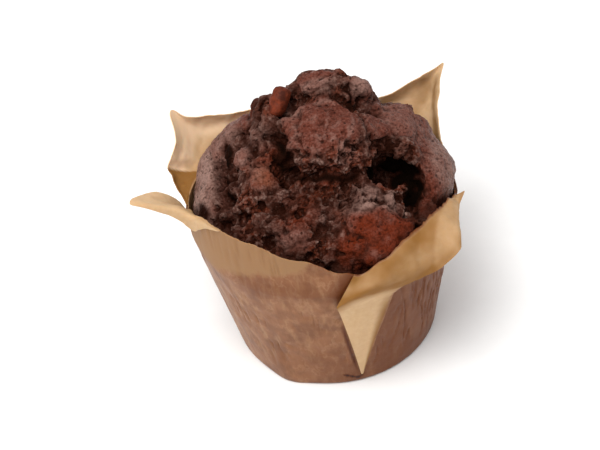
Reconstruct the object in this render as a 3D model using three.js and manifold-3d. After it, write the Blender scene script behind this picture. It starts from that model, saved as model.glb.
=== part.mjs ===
// A dark chocolate muffin in its folded paper case, in millimetres, +Z up.
// The origin is the centre of the flat base, on the surface that the muffin stands on.
import * as THREE from 'three';
import { mergeVertices } from 'three/addons/utils/BufferGeometryUtils.js';
import Module from 'manifold-3d';

const wasm = await Module();
wasm.setup();

// ---- Driving dimensions -------------------------------------------------------------------

const BASE_RADIUS = 28.9; // flat foot of the paper case
const RIM_RADIUS = 38.0; // where the cake swells out of the tin
const RIM_HEIGHT = 44.3;
const COLLAR_SLOPE = 0.03; // how much the paper above the rim leans out, per mm of height
const FOOT_ROUND = 1.4; // rounding between foot and wall
const PAPER = 0.5; // modelled thickness of the paper
const PETAL_PAPER = 0.4; // petals start inside the wall, so they are a little thinner
const GAP = 0.3; // clearance between touching pieces
const TUCK = 1.2; // how far a petal reaches down inside the wall it grows from

const AROUND = 84; // facets around the cake and the case
const DOME_RINGS = 20; // rings from the dome's edge to its pole
const WALL_RINGS = 2; // rings up the paper wall to the rim
const COLLAR_RINGS = 2; // rings from the rim to the crest of the paper
const PETAL_ROWS = 5; // rows from a petal's root to its free edge

const DOME_CENTRE = new THREE.Vector3(0, 0, 44);
const DOME_RADIUS = 37.0; // also keeps every lump clear of the paper
const DOME_TOP = 66.5; // height of the smooth crust under the lumps
const BLEND = 1.6; // softness of the crease between two lumps
const SKIRT = 1.6; // how steeply a lump's side falls away past its widest line

// Lumps of risen cake: centre, radii and turn about +Z in degrees.
const LUMPS = [
  { name: 'crown', at: [3, -1.5, 63.5], radii: [17, 15.5, 14.5], turn: 0 },
  { name: 'back ridge', at: [5, 10.5, 61.5], radii: [16.5, 13.5, 18.4], turn: -10 },
  { name: 'crown left', at: [-9.5, 7.5, 61], radii: [9.5, 11.5, 15], turn: 0 },
  { name: 'left shoulder', at: [-14, -3, 57], radii: [11.5, 14, 13], turn: 20 },
  { name: 'left knob', at: [-18, -13, 58.5], radii: [8, 7.5, 7.5], turn: 0 },
  { name: 'left low', at: [-18, -20.5, 52.5], radii: [10, 9, 8.5], turn: 0 },
  { name: 'right back', at: [20, 8, 54], radii: [14.5, 14, 14], turn: 0 },
  { name: 'front middle', at: [6, -19, 54], radii: [18, 12.5, 10], turn: 0 },
  { name: 'front low', at: [-5, -26, 51], radii: [15, 9.5, 9], turn: 0 },
  { name: 'front right', at: [15, -24.5, 50.5], radii: [14, 10.5, 8.5], turn: 25 },
];

// The burst cavern between the crown and the front right of the crust.
const CAVERN = { at: [22.5, -15, 64], radii: [10.5, 6, 10], turn: -35 };

// Cracks: plan points that each runs through, half width and depth.
const CRACKS = [
  { name: 'left groove', path: [[-21, 12], [-25, 2], [-27, -9]], width: 1.9, depth: 3.2 },
  { name: 'under the crown', path: [[-10, -8], [-6, -17], [2, -20], [9, -18]], width: 1.7, depth: 3 },
  { name: 'behind the crown', path: [[8, 10], [16, 3], [21, 2]], width: 1.5, depth: 3 },
  { name: 'seam of the flank', path: [[29, -22], [25, -28]], width: 1.6, depth: 2.4 },
];

// The chunk of chocolate in the crown: centre, radii, turn about +Z, lean and squareness.
const CHUNK = { at: [-7.8, 8.2, 75], radii: [3.2, 4.4, 2.8], turn: 25, lean: 12, squareness: 2.8 };

// Height of the paper's crease or top around the case: [azimuth, height].
const CREST = [
  [-103, 58], [-86, 52], [-80, 50], [-70, 52.5], [-57, 56], [-43, 57], [-30, 54.5], [-16, 49.5],
  [-8, 46.5], [0, 45.5], [20, 45.5], [40, 46.5], [90, 47.5], [145, 46.5], [178, 48], [188, 53], [201, 60], [213, 63], [235, 62],
];

// Petals: azimuth range at the root, free edge points [azimuth, radius, height] and how far
// the middle of the sheet bows out of the straight line between root and edge.
const PETALS = [
  {
    name: 'back right',
    from: 12,
    to: 68,
    bow: [1.2, -1.5],
    edge: [
      [14.5, 38.5, 46.5], [18.6, 38.8, 50], [22, 39, 52], [28.8, 41.8, 55], [34, 47.1, 59],
      [37, 51, 61.5], [42, 47, 58], [53.6, 39.6, 53], [66, 38.6, 48.5],
    ],
  },
  {
    name: 'back left',
    from: 98,
    to: 176,
    bow: [2.4, -1.8],
    edge: [
      [98, 38.8, 49], [119, 40.4, 54], [132, 42.4, 57], [141.5, 49.5, 60], [152, 44, 57.5],
      [159, 44.7, 52], [167, 40.8, 50], [174, 38.6, 49],
    ],
  },
  {
    name: 'left',
    from: 180,
    to: 222,
    bow: [0.4, 1.6],
    edge: [
      [182, 38.8, 52], [184, 42, 58], [187, 45.6, 62.5], [192, 50, 66.5], [199.3, 54.3, 70],
      [201.5, 48.5, 66], [202.5, 42.8, 60.5], [204, 39.4, 55], [221, 38.9, 61],
    ],
  },
  {
    name: 'front right',
    from: -83,
    to: -17,
    bow: [2.2, 0.4],
    edge: [
      [-91.7, 39.4, 41], [-83, 40.6, 44.6], [-74, 40.9, 44.8], [-64, 40.6, 43], [-57, 42.2, 43.6],
      [-51.6, 46.1, 46], [-45.3, 49.5, 51], [-37, 43.6, 51], [-28, 41.4, 51], [-18, 41.3, 52],
    ],
  },
];

// Pleats: triangular folds of spare paper, each pressed flat on the wall. Its top corners and
// its tip are [azimuth, height], and stand-off is the clearance of its left and right edge.
const PLEATS = [
  { name: 'front', left: [-91.7, 43], right: [-63, 45], tip: [-82.4, 4.3], standOff: [1.4, 0.2] },
  { name: 'right', left: [-6, 44], right: [9, 44], tip: [-1, 6], standOff: [0.5, 0.5] },
  { name: 'back', left: [79, 44], right: [95, 44], tip: [86, 5], standOff: [0.5, 0.5] },
  { name: 'left', left: [170, 44], right: [184, 44], tip: [178, 6], standOff: [0.5, 0.5] },
];
const PLEAT_ROWS = 8;
const PLEAT_COLUMNS = 5;
const PLEAT_TIP_WIDTH = 1.2; // degrees, so that the tip is blunt and not a needle

const LOOKS = {
  cake: { color: 0x4a2a22, roughness: 0.75, metalness: 0 },
  chunk: { color: 0x5a2e1e, roughness: 0.45, metalness: 0 },
  paper: { color: 0xb48c60, roughness: 0.6, metalness: 0 },
};

// ---- Small helpers ------------------------------------------------------------------------

/** A point at an azimuth in degrees, a radius and a height. */
function polar(azimuth, radius, height) {
  const angle = THREE.MathUtils.degToRad(azimuth);
  return new THREE.Vector3(radius * Math.cos(angle), radius * Math.sin(angle), height);
}

/** The point at t, from 0 to 1, of a smooth open curve through points. */
function through(points, t) {
  return new THREE.CatmullRomCurve3(points, false, 'centripetal').getPoint(t);
}

/** Interpolates the crest height at an azimuth, smoothly between its listed points. */
function crestHeight(azimuth) {
  const first = CREST[0][0];
  const turned = first + THREE.MathUtils.euclideanModulo(azimuth - first, 360);
  const ring = [...CREST, [first + 360, CREST[0][1]]];
  const next = ring.findIndex(([a]) => a > turned);
  const [a0, h0] = ring[next - 1];
  const [a1, h1] = ring[next];
  return THREE.MathUtils.lerp(h0, h1, THREE.MathUtils.smoothstep(turned, a0, a1));
}

/** Outer radius of the paper wall at a height. */
function wallRadius(height) {
  if (height > RIM_HEIGHT) {
    return RIM_RADIUS + COLLAR_SLOPE * (height - RIM_HEIGHT);
  }
  return THREE.MathUtils.lerp(BASE_RADIUS, RIM_RADIUS, height / RIM_HEIGHT);
}

/** Larger of two values, with a rounded corner between them. */
function softMax(a, b, softness) {
  const share = THREE.MathUtils.clamp(0.5 + (0.5 * (a - b)) / softness, 0, 1);
  return THREE.MathUtils.lerp(b, a, share) + softness * share * (1 - share);
}

/** Distance from a plan point to a crack's path. */
function pathDistance(x, y, path) {
  const point = new THREE.Vector3(x, y, 0);
  const nearest = new THREE.Vector3();
  let best = Infinity;
  for (let i = 1; i < path.length; i += 1) {
    const start = new THREE.Vector3(...path[i - 1], 0);
    const end = new THREE.Vector3(...path[i], 0);
    new THREE.Line3(start, end).closestPointToPoint(point, true, nearest);
    best = Math.min(best, nearest.distanceTo(point));
  }
  return best;
}

/** Turns vertices and triangles into a geometry. */
function facets(vertices, triangles) {
  const geometry = new THREE.BufferGeometry();
  geometry.setAttribute('position', new THREE.Float32BufferAttribute(vertices.flatMap((v) => v.toArray()), 3));
  geometry.setIndex(triangles.flat());
  return geometry;
}

/** Adds the two triangles of a quad given by its four corners in order. */
function quad(triangles, a, b, c, d) {
  triangles.push([a, b, c], [a, c, d]);
}

/** Makes a manifold-3d solid from a geometry. */
function solidOf(geometry) {
  const bare = geometry.clone();
  bare.deleteAttribute('normal');
  bare.deleteAttribute('uv');
  const merged = mergeVertices(bare, 1e-5);
  return new wasm.Manifold(new wasm.Mesh({
    numProp: 3,
    vertProperties: new Float32Array(merged.attributes.position.array),
    triVerts: new Uint32Array(merged.index.array),
  }));
}

/** Makes a geometry from a manifold-3d solid. */
function geometryOf(solid) {
  const mesh = solid.getMesh();
  const geometry = new THREE.BufferGeometry();
  geometry.setAttribute('position', new THREE.Float32BufferAttribute(mesh.vertProperties, 3));
  geometry.setIndex([...mesh.triVerts]);
  return geometry;
}

/** Closes a stack of rings of equal length between a lowest and a highest middle point. */
function ringStack(rings, low, high) {
  const count = rings[0].length;
  const vertices = [...rings.flat(), low, high];
  const lowIndex = vertices.length - 2;
  const highIndex = vertices.length - 1;
  const last = (rings.length - 1) * count;
  const triangles = [];
  for (let i = 0; i < count; i += 1) {
    const j = (i + 1) % count;
    triangles.push([lowIndex, j, i]);
    triangles.push([highIndex, last + i, last + j]);
    for (let k = 0; k < rings.length - 1; k += 1) {
      quad(triangles, k * count + i, k * count + j, (k + 1) * count + j, (k + 1) * count + i);
    }
  }
  return facets(vertices, triangles);
}

/** A ring of points, one for each facet around, from a function of the azimuth. */
function ring(pointAt) {
  return Array.from({ length: AROUND }, (_, i) => pointAt((360 * i) / AROUND));
}

// ---- The cake -----------------------------------------------------------------------------

/**
 * Where a ray from the dome's centre crosses an ellipsoid, on its far (1) or near (-1) side.
 * Past the ellipsoid's widest line the far side runs on as a steep skirt, so it never jumps,
 * and the near side is nowhere.
 */
function ellipsoidReach(direction, { at, radii, turn }, side) {
  const turned = new THREE.Matrix4().makeRotationZ(THREE.MathUtils.degToRad(-turn));
  const size = new THREE.Vector3(...radii);
  const centre = new THREE.Vector3(...at).sub(DOME_CENTRE).applyMatrix4(turned).divide(size);
  const ray = direction.clone().applyMatrix4(turned).divide(size);
  const a = ray.lengthSq();
  const b = ray.dot(centre);
  const disc = b * b - a * (centre.lengthSq() - 1);
  if (disc <= 0) {
    return side > 0 ? (b - SKIRT * Math.sqrt(-disc)) / a : Infinity;
  }
  return (b + side * Math.sqrt(disc)) / a;
}

/** Distance from the dome's centre to its surface along a direction. */
function domeReach(direction) {
  const flat = Math.hypot(direction.x, direction.y);
  const rise = DOME_TOP - DOME_CENTRE.z;
  let reach = 1 / Math.hypot(flat / DOME_RADIUS, direction.z / rise);
  for (const lump of LUMPS) {
    reach = softMax(ellipsoidReach(direction, lump, 1), reach, BLEND);
  }
  for (const { path, width, depth } of CRACKS) {
    const away = pathDistance(direction.x * reach, direction.y * reach, path);
    reach -= depth * Math.exp(-((away / width) ** 2));
  }
  reach = Math.min(reach, ellipsoidReach(direction, CAVERN, -1));
  return Math.min(reach, DOME_RADIUS / Math.max(flat, 1e-6));
}

/** The cake: a tapered foot inside the paper and a burst, lumpy dome above it. */
function cakeSolid() {
  const floor = PAPER + GAP;
  const inset = PAPER + GAP;
  const foot = ring((a) => polar(a, BASE_RADIUS - inset - FOOT_ROUND, floor));
  const footTop = ring((a) => polar(a, wallRadius(floor + FOOT_ROUND) - inset, floor + FOOT_ROUND));
  const rings = [foot, footTop];
  for (let k = 0; k < DOME_RINGS; k += 1) {
    const tilt = (Math.PI / 2) * (1 - k / DOME_RINGS);
    rings.push(ring((a) => {
      const direction = polar(a, Math.sin(tilt), Math.cos(tilt));
      return direction.clone().multiplyScalar(domeReach(direction)).add(DOME_CENTRE);
    }));
  }
  const up = new THREE.Vector3(0, 0, 1);
  const pole = up.clone().multiplyScalar(domeReach(up)).add(DOME_CENTRE);
  return solidOf(ringStack(rings, new THREE.Vector3(0, 0, floor), pole));
}

/** The chocolate chunk in the crown: a rounded block, leaning with the crust around it. */
function chunkSolid(growth) {
  const ball = new THREE.IcosahedronGeometry(1, 3);
  const place = ball.attributes.position;
  const point = new THREE.Vector3();
  const size = new THREE.Vector3(...CHUNK.radii).addScalar(growth);
  for (let i = 0; i < place.count; i += 1) {
    point.fromBufferAttribute(place, i);
    const power = CHUNK.squareness;
    const norm = Math.abs(point.x) ** power + Math.abs(point.y) ** power + Math.abs(point.z) ** power;
    point.multiplyScalar(norm ** (-1 / power)).multiply(size);
    place.setXYZ(i, point.x, point.y, point.z);
  }
  ball.rotateX(THREE.MathUtils.degToRad(CHUNK.lean));
  ball.rotateZ(THREE.MathUtils.degToRad(CHUNK.turn));
  ball.translate(...CHUNK.at);
  return solidOf(ball);
}

// ---- The paper case -----------------------------------------------------------------------

/** The cup of the case: floor and tapered wall up to the crest of the paper. */
function cupSolid() {
  const bottom = new THREE.Vector3(0, 0, 0);
  const top = new THREE.Vector3(0, 0, PAPER);
  const rings = [
    ring((a) => polar(a, BASE_RADIUS - FOOT_ROUND, 0)),
    ring((a) => polar(a, wallRadius(FOOT_ROUND), FOOT_ROUND)),
  ];
  const heights = [];
  for (let k = 1; k <= WALL_RINGS; k += 1) {
    heights.push(() => THREE.MathUtils.lerp(FOOT_ROUND, RIM_HEIGHT, k / WALL_RINGS));
  }
  for (let k = 1; k <= COLLAR_RINGS; k += 1) {
    heights.push((a) => THREE.MathUtils.lerp(RIM_HEIGHT, crestHeight(a), k / COLLAR_RINGS));
  }
  for (const height of heights) {
    rings.push(ring((a) => polar(a, wallRadius(height(a)), height(a))));
  }
  for (const height of heights.reverse()) {
    rings.push(ring((a) => polar(a, wallRadius(height(a)) - PAPER, height(a))));
  }
  rings.push(ring((a) => polar(a, wallRadius(FOOT_ROUND) - PAPER, FOOT_ROUND + PAPER / 2)));
  rings.push(ring((a) => polar(a, BASE_RADIUS - FOOT_ROUND - PAPER / 2, PAPER)));
  return solidOf(ringStack(rings, bottom, top));
}

/** Thickens a grid of points into a closed slab, evenly to both sides of the sheet. */
function slab(grid, thickness) {
  const rows = grid.length;
  const columns = grid[0].length;
  const at = (r, c) => grid[THREE.MathUtils.clamp(r, 0, rows - 1)][THREE.MathUtils.clamp(c, 0, columns - 1)];
  const vertices = [];
  for (const side of [1, -1]) {
    for (let r = 0; r < rows; r += 1) {
      for (let c = 0; c < columns; c += 1) {
        const along = at(r, c + 1).clone().sub(at(r, c - 1));
        const up = at(r + 1, c).clone().sub(at(r - 1, c));
        const normal = along.cross(up).normalize();
        vertices.push(at(r, c).clone().addScaledVector(normal, (side * thickness) / 2));
      }
    }
  }
  const half = rows * columns;
  const triangles = [];
  for (let r = 0; r < rows - 1; r += 1) {
    for (let c = 0; c < columns - 1; c += 1) {
      const i = r * columns + c;
      quad(triangles, i, i + 1, i + columns + 1, i + columns);
      quad(triangles, half + i, half + i + columns, half + i + columns + 1, half + i + 1);
    }
  }
  const border = [];
  for (let c = 0; c < columns - 1; c += 1) border.push(c);
  for (let r = 0; r < rows - 1; r += 1) border.push(r * columns + columns - 1);
  for (let c = columns - 1; c > 0; c -= 1) border.push((rows - 1) * columns + c);
  for (let r = rows - 1; r > 0; r -= 1) border.push(r * columns);
  border.forEach((i, k) => {
    const j = border[(k + 1) % border.length];
    quad(triangles, i, half + i, half + j, j);
  });
  return solidOf(facets(vertices, triangles));
}

/** A petal: a sheet from inside the wall, over the crest, out to the petal's free edge. */
function petalSolid({ from, to, edge, bow }) {
  const columns = Math.max(edge.length * 2, 12);
  const rim = edge.map((point) => polar(...point));
  const grid = Array.from({ length: PETAL_ROWS + 1 }, () => []);
  for (let c = 0; c <= columns; c += 1) {
    const share = c / columns;
    const azimuth = THREE.MathUtils.lerp(from, to, share);
    const crest = crestHeight(azimuth);
    const middle = PAPER / 2;
    grid[0].push(polar(azimuth, wallRadius(crest - TUCK) - middle, crest - TUCK));
    const root = polar(azimuth, wallRadius(crest) - middle, crest);
    const end = through(rim, share);
    const outward = polar(azimuth, bow[0], bow[1]);
    for (let r = 1; r <= PETAL_ROWS; r += 1) {
      const t = (r - 1) / (PETAL_ROWS - 1);
      const point = root.clone().lerp(end, t);
      grid[r].push(point.addScaledVector(outward, Math.sin(Math.PI * t)));
    }
  }
  return slab(grid, PETAL_PAPER);
}

/** A pleat: a triangle of spare paper that lies along the wall, with its tip near the foot. */
function pleatSolid({ left, right, tip, standOff }) {
  const grid = [];
  for (let r = 0; r <= PLEAT_ROWS; r += 1) {
    const t = r / PLEAT_ROWS;
    const row = [];
    for (let c = 0; c <= PLEAT_COLUMNS; c += 1) {
      const s = c / PLEAT_COLUMNS;
      const topAzimuth = THREE.MathUtils.lerp(left[0], right[0], s);
      const topHeight = THREE.MathUtils.lerp(left[1], right[1], s);
      const azimuth = THREE.MathUtils.lerp(topAzimuth, tip[0] + PLEAT_TIP_WIDTH * (s - 0.5), t);
      const height = THREE.MathUtils.lerp(topHeight, tip[1], t);
      const lift = THREE.MathUtils.lerp(standOff[0], standOff[1], s) * (1 - 0.6 * t);
      row.push(polar(azimuth, wallRadius(height) + lift, height));
    }
    grid.push(row);
  }
  return slab(grid.reverse(), PAPER);
}

// ---- Assembly -----------------------------------------------------------------------------

/** Wraps a solid as a named mesh with its own material. */
function piece(name, solid, look) {
  const mesh = new THREE.Mesh(geometryOf(solid), new THREE.MeshStandardMaterial(look));
  mesh.name = name;
  return mesh;
}

const petals = PETALS.map(petalSolid);
const pleats = PLEATS.map(pleatSolid);
const paperCase = [...petals, ...pleats].reduce((whole, sheet) => whole.add(sheet), cupSolid());
const cake = cakeSolid().subtract(chunkSolid(GAP));

const muffin = new THREE.Group();
muffin.name = 'muffin';
muffin.add(piece('cake', cake, LOOKS.cake));
muffin.add(piece('chocolate_chunk', chunkSolid(0), LOOKS.chunk));
muffin.add(piece('paper_case', paperCase, LOOKS.paper));

export default muffin;
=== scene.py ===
"""A dark chocolate muffin in its folded paper case, on a pale studio floor.

Sizes in the dataclasses are millimetres, +Z up, with the origin at the centre of the flat base.
Meshes are in metres.
"""
import logging
import math
from collections.abc import Callable, Iterator, Sequence
from contextlib import contextmanager
from dataclasses import dataclass, field
from enum import Enum
from typing import Any

import bmesh
import bpy
import numpy as np
from mathutils import Matrix, Vector, noise


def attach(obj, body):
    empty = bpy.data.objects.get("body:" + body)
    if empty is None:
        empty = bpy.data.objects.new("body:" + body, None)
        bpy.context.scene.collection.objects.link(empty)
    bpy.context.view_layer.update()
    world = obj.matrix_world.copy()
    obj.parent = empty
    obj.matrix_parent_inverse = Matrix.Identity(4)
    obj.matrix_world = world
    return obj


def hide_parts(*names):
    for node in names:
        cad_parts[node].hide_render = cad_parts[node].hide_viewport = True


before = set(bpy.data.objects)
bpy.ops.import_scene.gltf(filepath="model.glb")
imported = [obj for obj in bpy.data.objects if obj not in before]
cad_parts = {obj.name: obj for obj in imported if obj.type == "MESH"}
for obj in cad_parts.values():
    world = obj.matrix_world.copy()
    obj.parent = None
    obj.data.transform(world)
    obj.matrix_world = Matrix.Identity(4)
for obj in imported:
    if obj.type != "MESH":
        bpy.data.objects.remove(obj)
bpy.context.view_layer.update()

MM = 0.001
NOISE_SEED = 7
TINY = 1e-6
SHORTEST = 1e-4
LOG = logging.getLogger("muffin")

Vec = tuple[float, float, float]
Pair = tuple[float, float]
Colour = tuple[float, float, float, float]
Array = np.ndarray
Object = bpy.types.Object
Material = bpy.types.Material
Tree = bpy.types.NodeTree
Node = bpy.types.Node
Socket = bpy.types.NodeSocket


class Mark(Enum):
    """Vertex attributes that the finishes read."""

    BURST = "burst"
    LOOSE = "loose"
    RIDGE = "ridge"
    HOLLOW = "hollow"
    RED = "red"
    # Painted light: sheen on the crust, and the back petal of the paper made paler as if lit through.
    PALE = "pale"
    DARK = "dark"
    GREASE = "grease"
    GOLD = "gold"
    TINT = "tint"


class Slot(Enum):
    """Names of the material slots."""

    CAKE = "cake"
    CHOCOLATE = "chocolate"
    PAPER = "paper"


# ---- Small maths -------------------------------------------------------------------------


def polar(azimuth: float, radius: float, height: float) -> Vector:
    """A point at an azimuth in degrees, a radius and a height."""
    angle = math.radians(azimuth)
    return Vector((radius * math.cos(angle), radius * math.sin(angle), height))


def azimuth_of(points: Array) -> Array:
    """The azimuth of each point in degrees."""
    return np.degrees(np.arctan2(points[:, 1], points[:, 0]))


def smooth_step(values: Array, low: float, high: float) -> Array:
    """Rises smoothly from 0 at low to 1 at high."""
    share = np.clip((values - low) / (high - low), 0.0, 1.0)
    return share * share * (3.0 - 2.0 * share)


def bell(distance: Array, width: float) -> Array:
    """1 at no distance, falling to 0 past a width."""
    return np.exp(-((distance / width) ** 2))


def mix(a: Any, b: Any, share: Any) -> Any:
    """Straight blend from a to b."""
    return a + (b - a) * share


def path_distance(points: Array, path: Sequence[Vec], outward: Array | None = None) -> Array:
    """Distance from each point to a line through the path's points.

    Args:
        points: Where to measure from, one row each.
        path: The corners of the line.
        outward: A direction for each point along which distance hardly counts.

    Returns:
        One distance for each point.
    """
    best = np.full(len(points), np.inf)
    corners = np.array(path, float)
    for start, end in zip(corners[:-1], corners[1:]):
        along = end - start
        share = np.clip((points - start) @ along / (along @ along), 0.0, 1.0)
        away = points - start - share[:, None] * along
        if outward is not None:
            away -= 0.85 * (away * outward).sum(axis=1)[:, None] * outward
        best = np.minimum(best, np.linalg.norm(away, axis=1))
    return best


def curve_point(points: Sequence[Vector], share: float) -> Vector:
    """The point at a share, from 0 to 1, of a smooth open curve through points.

    Args:
        points: The points that the curve passes through.
        share: How far along the curve, in equal parts for each stretch between points.

    Returns:
        A point of the centripetal Catmull-Rom curve.
    """
    place = share * (len(points) - 1)
    index = min(int(place), len(points) - 2)
    t = place - index
    p1, p2 = points[index], points[index + 1]
    p0 = points[index - 1] if index > 0 else p1 * 2 - p2
    p3 = points[index + 2] if index + 2 < len(points) else p2 * 2 - p1
    step0 = max((p1 - p0).length ** 0.5, SHORTEST)
    step1 = max((p2 - p1).length ** 0.5, SHORTEST)
    step2 = max((p3 - p2).length ** 0.5, SHORTEST)
    leave = ((p1 - p0) / step0 - (p2 - p0) / (step0 + step1) + (p2 - p1) / step1) * step1
    arrive = ((p2 - p1) / step1 - (p3 - p1) / (step1 + step2) + (p3 - p2) / step2) * step1
    cubic = p1 * 2 - p2 * 2 + leave + arrive
    square = p2 * 3 - p1 * 3 - leave * 2 - arrive
    return p1 + leave * t + square * t * t + cubic * t * t * t


def ring_value(ring: Sequence[Pair], azimuth: Array) -> Array:
    """Reads a smooth closed ring of values.

    Args:
        ring: Azimuths in degrees, rising, each with its value.
        azimuth: Where to read, in degrees.

    Returns:
        The value at each azimuth.
    """
    first = ring[0][0]
    turned = first + np.mod(azimuth - first, 360.0)
    closed = np.array([*ring, (first + 360, ring[0][1])], float)
    after = np.searchsorted(closed[:, 0], turned, side="right").clip(1, len(closed) - 1)
    share = (turned - closed[after - 1, 0]) / (closed[after, 0] - closed[after - 1, 0])
    return mix(closed[after - 1, 1], closed[after, 1], smooth_step(share, 0.0, 1.0))


def fractal(points: Array, size: float, octaves: int, seed: float) -> Array:
    """Cloud noise, about -1 to 1, whose largest lumps are about size across."""
    shifted = points / size + seed
    return np.array([noise.fractal(p, 1.0, 2.0, octaves) for p in shifted.tolist()])


def cells(points: Array, size: float, seed: float) -> tuple[Array, Array, Array]:
    """Splits space into rounded cells about size across.

    Args:
        points: Where to look, one row for each point.
        size: Spacing of the cells.
        seed: Shifts the pattern.

    Returns:
        The distance to the nearest cell's middle, the distance left to the next cell's
        middle, both as shares of size, and a value from 0 to 1 for each cell.
    """
    near, gap, tone = [], [], []
    for place in (points / size + seed).tolist():
        distances, middles = noise.voronoi(place)
        near.append(distances[0])
        gap.append(distances[1] - distances[0])
        tone.append(noise.cell(middles[0] * 7.0))
    return np.array(near), np.array(gap), np.array(tone)


def warped(points: Array, size: float, amount: float, seed: float) -> Array:
    """Points shifted by smooth noise, so that a pattern read there loses its regular look."""
    places = (points / size + seed).tolist()
    return points + amount * np.array([noise.noise_vector(p) for p in places])


# ---- Mesh work ---------------------------------------------------------------------------


def deselect_all() -> None:
    """Leaves nothing selected and no object in edit mode."""
    if bpy.context.object and bpy.context.object.mode != "OBJECT":
        bpy.ops.object.mode_set(mode="OBJECT")
    bpy.ops.object.select_all(action="DESELECT")


def activate(*objects: Object) -> None:
    """Selects just these objects and makes the first one active.

    Args:
        *objects: One or more objects.
    """
    deselect_all()
    for one in objects:
        one.select_set(True)
    bpy.context.view_layer.objects.active = objects[0]


@contextmanager
def editing(piece: Object) -> Iterator[None]:
    """Holds a piece in edit mode, with all of it selected at the start.

    Args:
        piece: The object.
    """
    activate(piece)
    bpy.ops.object.mode_set(mode="EDIT")
    bpy.ops.mesh.select_all(action="SELECT")
    yield
    bpy.ops.object.mode_set(mode="OBJECT")


def started(maker: Callable[..., Any], **values: Any) -> Object:
    """Adds a primitive, with nothing else selected.

    Args:
        maker: The operator that adds it.
        **values: The operator's values.

    Returns:
        The new object.
    """
    deselect_all()
    maker(**values)
    return bpy.context.object


def join(objects: Sequence[Object], name: str) -> Object:
    """Joins objects into one.

    Args:
        objects: One or more meshes. The first takes in the others.
        name: What the whole is called.

    Returns:
        The whole.
    """
    activate(*objects)
    if len(objects) > 1:
        bpy.ops.object.join()
    whole = bpy.context.object
    whole.name = name
    whole.data.name = name
    return whole


def apply_place(piece: Object) -> None:
    """Moves an object's place, turn and size into its mesh."""
    activate(piece)
    bpy.ops.object.transform_apply(location=True, rotation=True, scale=True)


def apply_modifier(piece: Object, kind: str, **values: Any) -> None:
    """Adds one modifier and applies it.

    Args:
        piece: The object to change.
        kind: Type name of the modifier.
        **values: The modifier's settings.
    """
    activate(piece)
    modifier = piece.modifiers.new(kind.lower(), kind)
    for name, value in values.items():
        setattr(modifier, name, value)
    bpy.ops.object.modifier_apply(modifier=modifier.name)


def column(source: Any, key: str, count: int, kind: type = float) -> Array:
    """Reads one property of every item of a mesh collection.

    Args:
        source: The collection.
        key: The property's name.
        count: How many numbers there are in all.
        kind: Type of the numbers.

    Returns:
        The numbers in one column.
    """
    flat = np.empty(count, kind)
    source.foreach_get(key, flat)
    return flat


def points_of(piece: Object) -> Array:
    """Vertex places in millimetres, one row each."""
    return column(piece.data.vertices, "co", 3 * len(piece.data.vertices)).reshape(-1, 3) / MM


def place_points(piece: Object, points: Array) -> None:
    """Moves the vertices to places in millimetres."""
    piece.data.vertices.foreach_set("co", (points * MM).ravel())
    piece.data.update()


def normals_of(piece: Object) -> Array:
    """Vertex normals, one row each."""
    return column(piece.data.vertex_normals, "vector", 3 * len(piece.data.vertices)).reshape(-1, 3)


def store(piece: Object, name: str, values: Array) -> None:
    """Stores one value for each vertex under a name."""
    layer = piece.data.attributes.new(name, "FLOAT", "POINT")
    layer.data.foreach_set("value", values.astype(np.float32))


def write_mark(piece: Object, mark: Mark, values: Array) -> None:
    """Stores one value from 0 to 1 for each vertex under a mark's name."""
    store(piece, mark.value, np.clip(values, 0.0, 1.0))


def stored(piece: Object, name: str) -> Array:
    """Reads back one value for each vertex."""
    values = piece.data.attributes[name].data
    return column(values, "value", len(values), np.float32).astype(float)


@dataclass
class Neighbours:
    """Averages values over each vertex and those it shares an edge with."""

    piece: Object
    ends: Array = field(init=False)
    counts: Array = field(init=False)

    def __post_init__(self) -> None:
        """Reads the edges once."""
        mesh = self.piece.data
        flat = column(mesh.edges, "vertices", 2 * len(mesh.edges), np.int64)
        self.ends = flat.reshape(-1, 2)
        self.counts = np.bincount(flat, minlength=len(mesh.vertices)) + 1.0

    def blur(self, values: Array, times: int) -> Array:
        """Averages one column of values.

        Args:
            values: One value for each vertex.
            times: How often each is averaged with its neighbours.

        Returns:
            The blurred values.
        """
        first, second = self.ends[:, 0], self.ends[:, 1]
        count = len(values)
        for _ in range(times):
            total = values + np.bincount(first, values[second], count)
            total += np.bincount(second, values[first], count)
            values = total / self.counts
        return values

    def relief(self, times: int) -> Array:
        """Finds how far each vertex stands out of its blurred surroundings.

        Args:
            times: How often the surroundings are blurred.

        Returns:
            One distance in millimetres for each vertex, below 0 where it lies sunk.
        """
        points = points_of(self.piece)
        calm = np.column_stack([self.blur(points[:, k], times) for k in range(3)])
        return ((points - calm) * normals_of(self.piece)).sum(axis=1)


def face_outwards(sheet: Object) -> None:
    """Turns a sheet's faces alike, with their fronts away from the middle axis.

    Args:
        sheet: The mesh to turn.
    """
    with editing(sheet):
        bpy.ops.mesh.normals_make_consistent(inside=False)
    level = Vector((1.0, 1.0, 0.0))
    if sum(face.normal.dot(face.center * level) for face in sheet.data.polygons) < 0.0:
        with editing(sheet):
            bpy.ops.mesh.flip_normals()


def shade_smooth(piece: Object, angle: float) -> None:
    """Smooth shading with sharp edges past an angle in degrees."""
    activate(piece)
    bpy.ops.object.shade_smooth_by_angle(angle=math.radians(angle))


def dress(piece: Object, material: Material) -> None:
    """Gives a piece its one material."""
    piece.data.materials.clear()
    piece.data.materials.append(material)


# ---- Node boards -------------------------------------------------------------------------


def display(red: int, green: int, blue: int) -> Colour:
    """Turns a swatch's display values, from 0 to 255, into a linear colour.

    Args:
        red: The red value.
        green: The green value.
        blue: The blue value.

    Returns:
        The opaque linear colour.
    """
    def linear(value: int) -> float:
        """One channel."""
        share = value / 255.0
        return share / 12.92 if share <= 0.04045 else ((share + 0.055) / 1.055) ** 2.4

    return linear(red), linear(green), linear(blue), 1.0


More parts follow.
